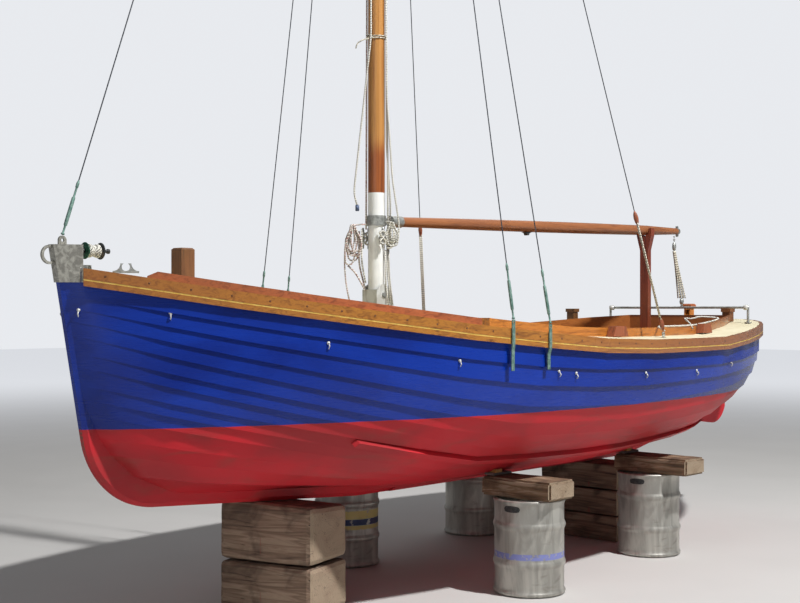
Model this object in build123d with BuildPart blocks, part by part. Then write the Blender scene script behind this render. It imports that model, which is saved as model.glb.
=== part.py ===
"""A small clinker gaff sloop laid up ashore on timber baulks and kegs, in millimetres.

The frame stands on the ground under the middle of the boat: X runs forward to the bow, Y to port
and Z up. Places along the boat are given as distances aft of the stem and turned into X by
fore(). The hull is drawn from one short table of the sheer and one of the strakes' lower edges.
"""
from build123d import *
import os
from math import atan, atan2, cos, hypot, radians, sin, sqrt, tan

# The hull's driving dimensions
LENGTH = 6250
SKIN = 16
LAP_STEP = 11
SEAT = 0.3
TOP_BEVEL = 1
BACKBONE_HALF = 28
LEADING_EDGE_HALF = 13
STEM_LEAN = 10
STEM_RABBET, KEEL_RABBET, RABBET_RADIUS = 20, 60, 700
STEM_HEAD_TOP = 1872
STERN_FOOT_AFT = LENGTH - 850
FOREFOOT_AFT, FOREFOOT_HEIGHT, FOREFOOT_RADIUS = 590, 1055, 430
BACKBONE_DEPTH = 64
KEEL_BOTTOM, KEEL_SLOPE = 530, 3.9
KEEL_RISE_AFT = STERN_FOOT_AFT - 650
SKEG_RISE_AFT = STERN_FOOT_AFT - 2000
STERN_FOOT_HEIGHT, STERN_TOP_HEIGHT = 860, 1510
STERN_FACING = 14
POST_AFT, HEEL_AFT, HEEL_HEIGHT = LENGTH - 590, LENGTH - 680, 690
LAP_BASE_HEIGHT = 600
LAP_MID_AFT, LAP_RUN_AFT = 2200, 3300
SHOE_THICKNESS, SHOE_AFT, SHOE_SCARF, SHOE_END = 52, 2230, 150, KEEL_RISE_AFT - 50
SECTION_POWER = 3
GARBOARD_SETBACK = 220

# The sheer line, its first column as a share of the length
SHEER_COLUMNS = ("aft", "half_beam", "height")
SHEER = (
    (0.00688, 28, 1791),
    (0.056, 235, 1737),
    (0.12, 470, 1669),
    (0.208, 720, 1590),
    (0.3424, 985, 1486),
    (0.528, 1095, 1410),
    (0.688, 1035, 1408),
    (0.816, 855, 1455),
    (0.904, 620, 1485),
    (0.96, 390, 1500),
    (0.9888, 205, 1507),
    (1, 28, STERN_TOP_HEIGHT),
)

# Each strake's lower edge as a share of the depth below the sheer: at the stem, amidships, at the stern
LAPS = (
    (0.111, 0.213, 0.215),
    (0.156, 0.330, 0.270),
    (0.200, 0.460, 0.345),
    (0.253, 0.565, 0.430),
    (0.315, 0.650, 0.510),
    (0.367, 0.720, 0.590),
    (0.436, 0.780, 0.660),
    (0.489, 0.835, 0.730),
    (0.547, 0.880, 0.790),
    (0.632, 0.920, 0.850),
    (0.700, 0.955, 0.900),
    (0.795, 0.980, 0.950),
)

# The hull's sections: share of each edge's run from stem to stern, share of the lap's step there
SECTIONS = (
    (0.0, 0.08),
    (0.012, 0.08),
    (0.035, 0.35),
    (0.065, 1.0),
    (0.11, 1.0),
    (0.165, 1.0),
    (0.23, 1.0),
    (0.30, 1.0),
    (0.38, 1.0),
    (0.46, 1.0),
    (0.54, 1.0),
    (0.62, 1.0),
    (0.70, 1.0),
    (0.77, 1.0),
    (0.83, 1.0),
    (0.885, 0.9),
    (0.93, 0.8),
    (0.965, 0.6),
    (0.988, 0.4),
    (1.0, 0.2),
)

# Deck, rail and cockpit
DECK_THICKNESS, DECK_CAMBER = 18, 26
DECK_START = 122
BAND_HEIGHT, BAND_THICKNESS, BAND_SEAT = 82, 26, 0.5
BAND_GROOVE_DOWN, BAND_GROOVE, BAND_GROOVE_HEIGHT = 50, 5, 6
TOE_HEIGHT, TOE_WIDTH, TOE_INSET, TOE_SEAT = 36, 24, 8, 1.2
TOE_START, TOE_END, TOE_NOSE = 362, 1960, 40
COCKPIT_FRONT, COCKPIT_BACK = 2250, LENGTH - 710
SIDE_DECK_WIDTH = 240
COAMING_HEIGHT, COAMING_THICKNESS, COAMING_SKIRT = 54, 20, 60
COAMING_GAP = 0.5
BULKHEAD_AFT, BULKHEAD_THICKNESS = 2330, 16
LINING_GAP = 12
SOLE_HEIGHT, SOLE_THICKNESS, SOLE_END = 860, 20, LENGTH - 1400
BENCH_HEIGHT, BENCH_THICKNESS, BENCH_END = 1150, 22, COCKPIT_BACK - 90
WELL_HALF, RISER_THICKNESS = 430, 18

# Bilge strips
STRIP_EDGE = len(LAPS) // 2
STRIP_FIRST, STRIP_LAST, STRIP_PROUD = 0.23, 0.885, 34
STRIP_BAND = (0.1, 0.5)

# Mast, tabernacle, boom and rigging
MAST_AFT, MAST_RADIUS, MAST_HEAD_RADIUS = 2150, 48.5, 34
MAST_TAPER_HEIGHT, MAST_HEAD_HEIGHT = 5200, 8250
MAST_HEEL_GAP = 12
TABERNACLE_TOP, TABERNACLE_CHEEK, TABERNACLE_LENGTH, TABERNACLE_GAP = 1733, 8, 100, 1
TABERNACLE_FLANGE_LENGTH, TABERNACLE_FLANGE_WIDTH = 170, 190
TABERNACLE_BASE, TABERNACLE_FRONT = 10, 1702
PIVOT_HEIGHT, PIVOT_RADIUS, PIVOT_CLEARANCE = 1673, 8, 0.3
PIVOT_HEAD_RADIUS, PIVOT_HEAD = 14, 9
GOOSENECK_HEIGHT, GOOSENECK_REACH = 2100, 88
MAST_BAND_THICKNESS = 7
MAST_BANDS = ((GOOSENECK_HEIGHT, 58), (7600, 46), (7900, 40), (8150, 40))
HOUNDS_HEIGHT, FORESTAY_HEIGHT, BACKSTAY_HEIGHT = 7600, 7900, 8150
LUG_THICKNESS, LUG_GAP, LUG_RADIUS = 8, 6.5, 17
BOOM_END_AFT, BOOM_END_HEIGHT = 5500, 2188
BOOM_HEEL = 32
BOOM_STATIONS = ((0, 28.5), (1138, 37), (2798, 36), (3236, 24))
BOOM_TANG_HALF, BOOM_CAP_LENGTH, BOOM_CAP_WALL, BOOM_SLEEVE_GAP = 6, 90, 4, 1.4
BOOM_END_CAP, BOOM_END_EYE = 24, 12
TANG_FREE = 4
SHEAVE_AFT, SHEAVE_CHEEK, SHEAVE_LENGTH, SHEAVE_RADIUS, SHEAVE_DROP = 3590, 14, 84, 14, 8
WIRE_RADIUS = 3
STRAP_WIDTH, STRAP_THICKNESS, STRAP_TOP_RISE, STRAP_BOTTOM = 24, 6, 46, 1265
STRAP_AFTS = (2136, 2400)
STRAP_CRANK, STRAP_HOLE_DOWN, STRAP_HOLE_RADIUS, STRAP_SEAT = 34, 15, 6, 0.7
SCREW_LENGTH, SCREW_RADIUS, FORESTAY_SCREW = 300, 9, 270
SHROUD_ANGLES, BACKSTAY_ANGLE = (80, 100), 130
BACKSTAY_AFT, BACKSTAY_INSET = 3680, 100
TACKLE_LENGTH, TACKLE_RADIUS = 620, 12
EYE_RADIUS, EYE_BAR, EYE_PLATE = 16, 5, 4

# Deck fittings
POST_SIDE, POST_TOP, POST_PLACE, POST_CHAMFER = 82, 1894, 753, 8
CAP_BOTTOM, CAP_TOP, CAP_BACK, CAP_WALL = 1712, 1885, 118, 5
CAP_FRONT_HALF, CAP_BACK_HALF = 22, 86
BOW_RING_RADIUS, BOW_RING_BAR, BOW_RING_HEIGHT = 44, 6, 1838
BOW_RING_REACH = 48
STAY_LUG_THICKNESS, STAY_LUG_HEIGHT, STAY_LUG_PLACE, STAY_HOLE_RADIUS = 10, 42, 62, 8
FAIRLEAD_PLACE, FAIRLEAD_LENGTH, FAIRLEAD_WIDTH, FAIRLEAD_HEIGHT = 300, 120, 24, 44
FAIRLEAD_INSET, FAIRLEAD_THROAT, FAIRLEAD_MOUTH, FAIRLEAD_SHOULDER = 44, 19, 16, 35.2
DRUM_START, DRUM_HEIGHT, DRUM_RADIUS, DRUM_LENGTH, DRUM_CORE, DRUM_FLANGE = 180, 1862, 40, 92, 20, 5
DRUM_SPINDLE, DRUM_SPINDLE_END = 9, 318
CRUTCH_AFT, CRUTCH_WIDTH, CRUTCH_THICKNESS = COCKPIT_BACK - 478, 68, 44
CRUTCH_HEAD_WIDTH, CRUTCH_HEAD_HEIGHT, CRUTCH_TIP_RISE, CRUTCH_CLEARANCE = 124, 150, 14, 5.5
HORSE_AFT, HORSE_HALF, HORSE_HEIGHT, HORSE_RADIUS, HORSE_FOOT = COCKPIT_BACK - 30, 600, 1600, 9, 26
BITT_SIDE, BITT_TOP, BITT_CAP_SIDE, BITT_CAP = 62, 1592, 76, 26
BITTS = ((LENGTH - 1180, -665), (LENGTH - 645, 385))
CHOCKS = ((3320, 160), (4500, 126))
CHOCK_HEIGHT, CHOCK_WIDTH = 62, 54

# Rudder
RUDDER_AFT, STOCK_RADIUS, STOCK_CLEARANCE = LENGTH - 550, 14, 0.5
TRUNK_RADIUS = 22
BLADE_THICKNESS, BLADE_BOTTOM, BLADE_TOP, BLADE_BACK = 36, 682, 936, LENGTH - 10
BLADE_FRONT_BOTTOM, BLADE_FRONT = 722, 20
BLADE_BOTTOM_AFT, BLADE_BACK_HEIGHT, BLADE_CORNER = LENGTH - 240, 800, 110
BLADE_SAG_AFT, BLADE_SAG = 165, 38
HEEL_PLATE, HEEL_PLATE_END, HEEL_PIN_RADIUS, HEEL_PIN_TOP = 12, RUDDER_AFT + 24, 9, 745
HEAD_SIDE, HEAD_BOTTOM, HEAD_TOP = 56, 1526, 1600
HEAD_CAP_SIDE, HEAD_CAP = 78, 30
TILLER_WIDTH, TILLER_HEIGHT, TILLER_DEPTH = 30, 34, 44

# Timber baulks, kegs and sleepers
BOW_BAULK_PLACE, BOW_BAULK_TURN, BOW_BAULK_LENGTH, BOW_BAULK_WIDTH = (1400, 30), 15, 580, 385
BOW_BAULK_LEVELS = (0, 262)
AFT_BAULK_PLACE, AFT_BAULK_LENGTH, AFT_BAULK_WIDTH = (4330, 0), 640, 300
AFT_BAULK_LEVELS = (0, 176, 353)
KEG_RADIUS, KEG_RIB, KEG_HEIGHT, KEG_WALL_RADIUS = 204, 14, 532, 196
KEGS = {
    "port": ((2590, 770), (4040, 655)),
    "starboard": ((2470, -560), (3860, -680)),
}
KEG_RIBS = (0, 0.3, 0.7, 1)
SLEEPER_OUTER, SLEEPER_WIDTH, SLEEPER_HEIGHT, SLEEPER_GAP = 1000, 240, 108, 18
PACKING_LENGTH, PACKING_WIDTH, PACKING_ROOM, PACKING_GAP = 68, 170, 500, 0.8


def fair(aft, column):
    """Value of one column of the sheer table at a distance aft, by a cubic that never overshoots."""
    xs = [row[0] * LENGTH for row in SHEER]
    ys = [row[SHEER_COLUMNS.index(column)] for row in SHEER]
    spans = [b - a for a, b in zip(xs, xs[1:])]
    slopes = [(b - a) / h for a, b, h in zip(ys, ys[1:], spans)]
    tangents = [slopes[0]]
    for h0, h1, d0, d1 in zip(spans, spans[1:], slopes, slopes[1:]):
        level = d0 * d1 <= 0
        tangents.append(0 if level else 3 * (h0 + h1) / ((2 * h1 + h0) / d0 + (h1 + 2 * h0) / d1))
    tangents.append(slopes[-1])
    aft = min(max(aft, xs[0]), xs[-1])
    k = max(i for i in range(len(spans)) if xs[i] <= aft)
    t = (aft - xs[k]) / spans[k]
    near = (2 * t**3 - 3 * t**2 + 1) * ys[k] + (t**3 - 2 * t**2 + t) * spans[k] * tangents[k]
    far = (3 * t**2 - 2 * t**3) * ys[k + 1] + (t**3 - t**2) * spans[k] * tangents[k + 1]
    return near + far


def half_beam(aft):
    """Half-breadth of the skin at the sheer."""
    return fair(aft, "half_beam")


def sheer(aft):
    """Height of the sheer."""
    return fair(aft, "height")


MIDSHIP = (LENGTH + BAND_SEAT + BAND_THICKNESS - BOW_RING_REACH) / 2


def fore(aft):
    """X of a place given as a distance aft of the stem."""
    return MIDSHIP - aft


def foot_centre(stem_inset, keel_inset, radius):
    """Centre of an arc round the forefoot that lies inset from the stem's face and the keel's foot."""
    lean, slope = radians(STEM_LEAN), radians(KEEL_SLOPE)
    overlap = sin(lean + slope)
    to_stem, to_keel = radius + stem_inset - FOREFOOT_RADIUS, radius + keel_inset - FOREFOOT_RADIUS
    along_stem = (to_stem - overlap * to_keel) / (1 - overlap**2)
    along_keel = (to_keel - overlap * to_stem) / (1 - overlap**2)
    aft = FOREFOOT_AFT + along_stem * cos(lean) + along_keel * sin(slope)
    return aft, FOREFOOT_HEIGHT + along_stem * sin(lean) + along_keel * cos(slope)


RABBET_AFT, RABBET_HEIGHT = foot_centre(STEM_RABBET, KEEL_RABBET, RABBET_RADIUS)
STERN_SLOPE = atan(2 * (STERN_FOOT_HEIGHT - KEEL_BOTTOM - KEEL_RABBET) / (STERN_FOOT_AFT - SKEG_RISE_AFT))
STERN_RISE, STERN_RUN = STERN_TOP_HEIGHT - STERN_FOOT_HEIGHT, LENGTH - STERN_FOOT_AFT
STERN_END_SLOPE = 2 * atan2(STERN_RISE, STERN_RUN) - STERN_SLOPE
STERN_RADIUS = hypot(STERN_RISE, STERN_RUN) / (2 * sin((STERN_END_SLOPE - STERN_SLOPE) / 2))
STERN_CENTRE_AFT = STERN_FOOT_AFT - STERN_RADIUS * sin(STERN_SLOPE)
STERN_CENTRE_HEIGHT = STERN_FOOT_HEIGHT + STERN_RADIUS * cos(STERN_SLOPE)


def rabbet_height(aft):
    """Height of the skin's lower edge, where it meets stem, keel and stern."""
    lean, slope = radians(STEM_LEAN), radians(KEEL_SLOPE)
    stem_aft, keel_aft = RABBET_AFT - RABBET_RADIUS * cos(lean), RABBET_AFT - RABBET_RADIUS * sin(slope)
    stem_height = RABBET_HEIGHT - RABBET_RADIUS * sin(lean)
    keel_height = RABBET_HEIGHT - RABBET_RADIUS * cos(slope)
    if aft < stem_aft:
        return stem_height + (stem_aft - aft) / tan(lean)
    if aft < keel_aft:
        return RABBET_HEIGHT - sqrt(RABBET_RADIUS**2 - (RABBET_AFT - aft) ** 2)
    if aft > STERN_FOOT_AFT:
        return STERN_CENTRE_HEIGHT - sqrt(STERN_RADIUS**2 - (aft - STERN_CENTRE_AFT) ** 2)
    level = max(keel_height - (aft - keel_aft) * tan(slope), KEEL_BOTTOM + KEEL_RABBET)
    share = max(aft - SKEG_RISE_AFT, 0) / (STERN_FOOT_AFT - SKEG_RISE_AFT)
    return level + (STERN_FOOT_HEIGHT - KEEL_BOTTOM - KEEL_RABBET) * share**2


def skin_half(aft, height):
    """Half-breadth of the planking's face at a distance aft and a height."""
    top, bottom = sheer(aft), rabbet_height(aft)
    depth = min(max((top - height) / max(top - bottom, 1), 0), 1)
    return BACKBONE_HALF + (half_beam(aft) - BACKBONE_HALF) * sqrt(1 - depth**SECTION_POWER)


def edge_height(index, aft):
    """Height of a strake's lower edge, or of the top edge under the deck for index -1."""
    if index < 0:
        return sheer(aft) - DECK_THICKNESS - SEAT
    stem, middle, stern = LAPS[index]
    if aft < LAP_MID_AFT:
        share = stem + (middle - stem) * aft / LAP_MID_AFT
    else:
        share = middle + (stern - middle) * max(aft - LAP_RUN_AFT, 0) / (LENGTH - LAP_RUN_AFT)
    return sheer(aft) - share * (sheer(aft) - LAP_BASE_HEIGHT)


def landing(index, inside, outside):
    """Distance aft at which a strake's edge lands on the rabbet, between two places that bracket it."""
    for _ in range(40):
        middle = (inside + outside) / 2
        if edge_height(index, middle) > rabbet_height(middle):
            inside = middle
        else:
            outside = middle
    return (inside + outside) / 2


EDGE_RUNS = {
    index: (landing(index, LAP_RUN_AFT, 0), landing(index, LAP_RUN_AFT, LENGTH))
    for index in range(-1, len(LAPS))
}
LAST_START, LAST_END = EDGE_RUNS[len(LAPS) - 1]
GARBOARD_RUN = (LAST_START + GARBOARD_SETBACK, LAST_END - GARBOARD_SETBACK)


def skin_normal(aft, height):
    """Outward direction of the port planking, from its slope along and up the hull."""
    reach = 4
    along = (skin_half(aft + reach, height) - skin_half(aft - reach, height)) / (2 * reach)
    upward = (skin_half(aft, height + reach) - skin_half(aft, height - reach)) / (2 * reach)
    return Vector(along, 1, -upward).normalized()


def rabbet_normal(aft):
    """Outward direction in the side view of the rabbet at a distance aft."""
    slope = (rabbet_height(aft + 1) - rabbet_height(aft - 1)) / 2
    return Vector(-slope, 0, -1).normalized()


def edge_point(index, share, outward=0):
    """Point of a strake's lower edge at a share of its run, moved out through the port planking."""
    start, end = EDGE_RUNS[index]
    aft = start + (end - start) * share
    if share in (0, 1):
        normal = rabbet_normal(aft)
        shift = Vector(outward / normal.X, 0, 0) if index < 0 else normal * outward
        point = Vector(fore(aft), BACKBONE_HALF, rabbet_height(aft)) + shift
    elif index < 0:
        height = edge_height(index, aft)
        normal = skin_normal(aft, height)
        level = Vector(normal.X, normal.Y, 0).normalized() * outward
        aft -= level.X
        point = Vector(fore(aft), skin_half(aft + level.X, height) + level.Y, edge_height(index, aft))
        if outward < 0:
            point -= Vector(0, 0, TOP_BEVEL)
    else:
        height = edge_height(index, aft)
        point = Vector(fore(aft), skin_half(aft, height), height) + skin_normal(aft, height) * outward
    return Vector(point.X, max(point.Y, BACKBONE_HALF), point.Z)


def garboard_point(share, outward=0):
    """Point of the garboard's lower edge against the keel."""
    aft = GARBOARD_RUN[0] + (GARBOARD_RUN[1] - GARBOARD_RUN[0]) * share
    return Vector(fore(aft), BACKBONE_HALF, rabbet_height(aft)) + rabbet_normal(aft) * outward


def closed_wire(points):
    """Closed outline of straight runs through points, as one section of a ruled form."""
    return Wire.make_polygon(points, close=True)


def planking_section(share, step_share):
    """Outline of the port planking at a share of the run: stepped outside, plain inside."""
    step = LAP_STEP * step_share
    outer = [edge_point(-1, share)]
    for index in range(len(LAPS)):
        outer += [edge_point(index, share, step), edge_point(index, share)]
    outer.append(garboard_point(share))
    inner = [edge_point(index, share, -SKIN) for index in range(-1, len(LAPS))]
    inner.append(garboard_point(share, -SKIN))
    return closed_wire(outer + inner[::-1])


def ruled_form(sections):
    """Solid ruled straight from each closed section to the next."""
    return Solid.make_loft(sections, ruled=True)


TOP_START, TOP_END = EDGE_RUNS[-1]
STATIONS = [TOP_START + (TOP_END - TOP_START) * share for share, _ in SECTIONS]


def stations(first, last):
    """Distances aft of the sections of what follows the sheer, from a first to a last place."""
    return [first] + [aft for aft in STATIONS if first + 1 < aft < last - 1] + [last]


def ruled(quantity, aft):
    """Value between the stations on either side, where the forms run straight."""
    places = STATIONS + [LENGTH]
    aft = min(max(aft, places[0]), LENGTH)
    k = max(i for i in range(len(places) - 1) if places[i] <= aft)
    share = (aft - places[k]) / (places[k + 1] - places[k])
    return quantity(places[k]) * (1 - share) + quantity(places[k + 1]) * share


def sheer_point(aft, outward, rise):
    """Point near the port sheer, moved out level and up."""
    along = (half_beam(aft + 1) - half_beam(aft - 1)) / 2
    out = Vector(along, 1, 0).normalized() * outward
    return Vector(fore(aft) + out.X, ruled(half_beam, aft) + out.Y, ruled(sheer, aft) + rise)


def camber(aft):
    """Height of the deck's middle above the sheer."""
    return DECK_CAMBER * half_beam(aft) / max(row[1] for row in SHEER)


def deck_height(aft, y):
    """Height of the deck's top at a distance aft and off the middle line."""
    return ruled(sheer, aft) + ruled(camber, aft) * (1 - (y / ruled(half_beam, aft)) ** 2)


def deck_seat(aft, y, along, across):
    """Height of a flat foot that stands on the deck, clear of its highest point under the foot."""
    around = [(aft + step * along, abs(y) + side * across) for step in (-1, 0, 1) for side in (-1, 0, 1)]
    return max(deck_height(*place) for place in around) + SEAT


def coaming_half(aft):
    """Half-breadth of the coaming's outer face."""
    return ruled(half_beam, aft) - SIDE_DECK_WIDTH


def lining_half(aft, height):
    """Half-breadth of what is fitted inside the planking."""
    return skin_half(aft, height) - (SKIN + LINING_GAP) / skin_normal(aft, height).Y


def mast_radius(height):
    """Radius of the mast at a height."""
    share = max(height - MAST_TAPER_HEIGHT, 0) / (MAST_HEAD_HEIGHT - MAST_TAPER_HEIGHT)
    return MAST_RADIUS + (MAST_HEAD_RADIUS - MAST_RADIUS) * share


BOOM_PIN = Vector(fore(MAST_AFT + GOOSENECK_REACH), 0, GOOSENECK_HEIGHT)
BOOM_RUN = Vector(fore(BOOM_END_AFT), 0, BOOM_END_HEIGHT) - BOOM_PIN
BOOM_SIDE = Plane(origin=BOOM_PIN, x_dir=BOOM_RUN, z_dir=(0, 1, 0))


def boom_height(aft):
    """Height of the boom's middle line at a distance aft."""
    return BOOM_PIN.Z + (BOOM_PIN.X - fore(aft)) * BOOM_RUN.Z / -BOOM_RUN.X


def boom_radius(along):
    """Radius of the boom's barrel at a distance along it, by the curve through three stations."""
    barrel = BOOM_STATIONS[:3]
    total = 0
    for place, radius in barrel:
        for other, _ in barrel:
            if other != place:
                radius *= (along - other) / (place - other)
        total += radius
    return total


STANDING = (Align.CENTER, Align.CENTER, Align.MIN)


def rod(start, end, radius):
    """A round bar between two points, added to the piece being built."""
    run = Vector(end) - Vector(start)
    with Locations(Plane(origin=start, z_dir=run)):
        Cylinder(radius, run.length, align=STANDING)


def side_points(points):
    """Points of an outline in the side view, from distances aft and heights."""
    return [(fore(aft), height) for aft, height in points]


def both_sides(points):
    """Outline in plan from its port edge, closed by the same edge to starboard."""
    return points + [(x, -y) for x, y in points[::-1]]


def save(piece, name):
    """Labels a finished piece and writes it."""
    piece.part.label = name
    export_step(piece.part, f"parts/{name}.step")


os.makedirs("parts", exist_ok=True)

# Planking
port_skin = ruled_form([planking_section(share, step_share) for share, step_share in SECTIONS])

with BuildPart() as port_planking:
    add(port_skin)
save(port_planking, "port_planking")

with BuildPart() as starboard_planking:
    add(mirror(port_skin, about=Plane.XZ, mode=Mode.PRIVATE))
save(starboard_planking, "starboard_planking")

# Stem, keel, sternpost and counter in one backbone
STEM_FACE_AFT = FOREFOOT_AFT - FOREFOOT_RADIUS * cos(radians(STEM_LEAN))
STEM_FACE_HEIGHT = FOREFOOT_HEIGHT - FOREFOOT_RADIUS * sin(radians(STEM_LEAN))


def stem_face(height):
    """Distance aft of the stem's front at a height above the forefoot."""
    return STEM_FACE_AFT - (height - STEM_FACE_HEIGHT) * tan(radians(STEM_LEAN))


KEEL_FACE_AFT = FOREFOOT_AFT - FOREFOOT_RADIUS * sin(radians(KEEL_SLOPE))
KEEL_FACE_HEIGHT = FOREFOOT_HEIGHT - FOREFOOT_RADIUS * cos(radians(KEEL_SLOPE))
LEVEL_KEEL_AFT = KEEL_FACE_AFT + (KEEL_FACE_HEIGHT - KEEL_BOTTOM) / tan(radians(KEEL_SLOPE))
TURN = 90 - STEM_LEAN - KEEL_SLOPE
INNER_RADIUS = RABBET_RADIUS - BACKBONE_DEPTH
keel_level = KEEL_BOTTOM + KEEL_RABBET + BACKBONE_DEPTH
SKEG_STEPS = 5
skeg_run = SKEG_RISE_AFT - STERN_FOOT_AFT
skeg_stations = [STERN_FOOT_AFT + skeg_run * step / SKEG_STEPS for step in range(SKEG_STEPS + 1)]
shoe_front = SHOE_AFT + SHOE_SCARF
shoe_back = SHOE_END - SHOE_SCARF
facing_radius = STERN_RADIUS + STERN_FACING
stern_top = sheer(LENGTH) - DECK_THICKNESS - SEAT


def stern_arc_aft(height, radius):
    """Distance aft of an arc about the stern's centre at a height."""
    return STERN_CENTRE_AFT + sqrt(radius**2 - (STERN_CENTRE_HEIGHT - height) ** 2)


def stern_arc_height(aft, radius):
    """Height of an arc about the stern's centre at a distance aft."""
    return STERN_CENTRE_HEIGHT - sqrt(radius**2 - (aft - STERN_CENTRE_AFT) ** 2)


def on_stem_face(edge):
    """Whether an edge of the backbone's side runs down the stem or round the forefoot."""
    middle = edge.position_at(0.5)
    to_centre = hypot(fore(FOREFOOT_AFT) - middle.X, FOREFOOT_HEIGHT - middle.Z)
    on_foot = abs(to_centre - FOREFOOT_RADIUS) < 1 and middle.Z < STEM_FACE_HEIGHT
    on_face = middle.Z > STEM_FACE_HEIGHT and abs(middle.X - fore(stem_face(middle.Z))) < 1
    return abs(abs(middle.Y) - BACKBONE_HALF) < 1 and (on_foot or on_face)


with BuildPart() as backbone:
    with BuildSketch(Plane.XZ):
        with BuildLine():
            face = CenterArc((fore(FOREFOOT_AFT), FOREFOOT_HEIGHT), FOREFOOT_RADIUS, -STEM_LEAN, -TURN)
            head = (fore(stem_face(STEM_HEAD_TOP)), STEM_HEAD_TOP)
            Line(head, face @ 0)
            bottom_turn = (fore(LEVEL_KEEL_AFT), KEEL_BOTTOM)
            heel = (fore(POST_AFT), HEEL_HEIGHT)
            counter_foot = (fore(POST_AFT), stern_arc_height(POST_AFT, facing_radius))
            Polyline(
                face @ 1,
                bottom_turn,
                (fore(SHOE_AFT), KEEL_BOTTOM),
                (fore(shoe_front), KEEL_BOTTOM + SHOE_THICKNESS),
                (fore(shoe_back), KEEL_BOTTOM + SHOE_THICKNESS),
                (fore(SHOE_END), KEEL_BOTTOM),
                (fore(KEEL_RISE_AFT), KEEL_BOTTOM),
                (fore(HEEL_AFT), HEEL_HEIGHT),
                heel,
                counter_foot,
            )
            outer_top = (fore(stern_arc_aft(stern_top, facing_radius)), stern_top)
            middle_height = (counter_foot[1] + stern_top) / 2
            outer_middle = (fore(stern_arc_aft(middle_height, facing_radius)), middle_height)
            ThreePointArc(counter_foot, outer_middle, outer_top)
            inner_arc_radius = STERN_RADIUS - BACKBONE_DEPTH
            inner_top = (fore(stern_arc_aft(stern_top, inner_arc_radius)), stern_top)
            inner_foot = (fore(STERN_FOOT_AFT), stern_arc_height(STERN_FOOT_AFT, inner_arc_radius))
            inner_height = (inner_foot[1] + stern_top) / 2
            inner_middle = (fore(stern_arc_aft(inner_height, inner_arc_radius)), inner_height)
            Line(outer_top, inner_top)
            ThreePointArc(inner_top, inner_middle, inner_foot)
            inner = CenterArc(
                (fore(RABBET_AFT), RABBET_HEIGHT), INNER_RADIUS, -STEM_LEAN - TURN, TURN
            )
            skeg = [(fore(aft), rabbet_height(aft) + BACKBONE_DEPTH) for aft in skeg_stations[1:]]
            inner_run = ((inner @ 0).Y - keel_level) / tan(radians(KEEL_SLOPE))
            inner_turn = (fore(RABBET_AFT) - inner_run, keel_level)
            Polyline(inner_foot, *skeg, inner_turn, inner @ 0)
            inner_head = (inner @ 1) + Vector(tan(radians(STEM_LEAN)), 1) * (STEM_HEAD_TOP - (inner @ 1).Y)
            Polyline(inner @ 1, inner_head, head)
        make_face()
    extrude(amount=BACKBONE_HALF, both=True)
    face_edges = backbone.edges().filter_by(on_stem_face)
    chamfer(face_edges, length=BACKBONE_HALF - LEADING_EDGE_HALF, length2=STEM_RABBET)
    with BuildSketch(Plane.XY.offset(HEEL_HEIGHT)):
        with Locations((fore(RUDDER_AFT), 0)):
            Circle(STOCK_RADIUS + STOCK_CLEARANCE)
    extrude(amount=STERN_TOP_HEIGHT, mode=Mode.SUBTRACT)
    with Locations((fore(LENGTH + STERN_FACING), 0, STERN_TOP_HEIGHT - BAND_HEIGHT - BAND_SEAT)):
        Box(2 * STERN_FACING, 3 * BACKBONE_HALF, BAND_HEIGHT, align=STANDING, mode=Mode.SUBTRACT)
save(backbone, "backbone")

with BuildPart() as ballast_shoe:
    with BuildSketch(Plane.XZ):
        with BuildLine():
            shoe = (
                (SHOE_AFT, KEEL_BOTTOM),
                (shoe_front, KEEL_BOTTOM + SHOE_THICKNESS),
                (shoe_back, KEEL_BOTTOM + SHOE_THICKNESS),
                (SHOE_END, KEEL_BOTTOM),
            )
            Polyline(*side_points(shoe), close=True)
        make_face()
    extrude(amount=BACKBONE_HALF, both=True)
save(ballast_shoe, "ballast_shoe")

# Deck, with the cockpit's opening
coaming_afts = stations(COCKPIT_FRONT, COCKPIT_BACK)
opening = [(fore(aft), coaming_half(aft) + COAMING_GAP) for aft in coaming_afts]
opening[0] = (opening[0][0] + COAMING_GAP, opening[0][1])
opening[-1] = (opening[-1][0] - COAMING_GAP, opening[-1][1])


def deck_section(aft):
    """Cambered outline of the deck across the boat."""
    half, top, rise = ruled(half_beam, aft), ruled(sheer, aft), ruled(camber, aft)
    under = top - DECK_THICKNESS
    with BuildSketch(Plane(origin=(fore(aft), 0, 0), x_dir=(0, 1, 0), z_dir=(1, 0, 0))) as outline:
        with BuildLine():
            ThreePointArc((-half, top), (0, top + rise), (half, top))
            Line((half, top), (half, under))
            ThreePointArc((half, under), (0, under + rise), (-half, under))
            Line((-half, under), (-half, top))
        make_face()
    return outline.sketch.face().outer_wire()


with BuildPart() as deck:
    add(ruled_form([deck_section(aft) for aft in stations(DECK_START, LENGTH - 3)]))
    with BuildSketch(Plane.XY.offset(LAP_BASE_HEIGHT)):
        with BuildLine():
            Polyline(*both_sides(opening), close=True)
        make_face()
        with Locations((fore(RUDDER_AFT), 0)):
            Circle(STOCK_RADIUS + STOCK_CLEARANCE)
    extrude(amount=STERN_TOP_HEIGHT, mode=Mode.SUBTRACT)
save(deck, "deck")


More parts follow.
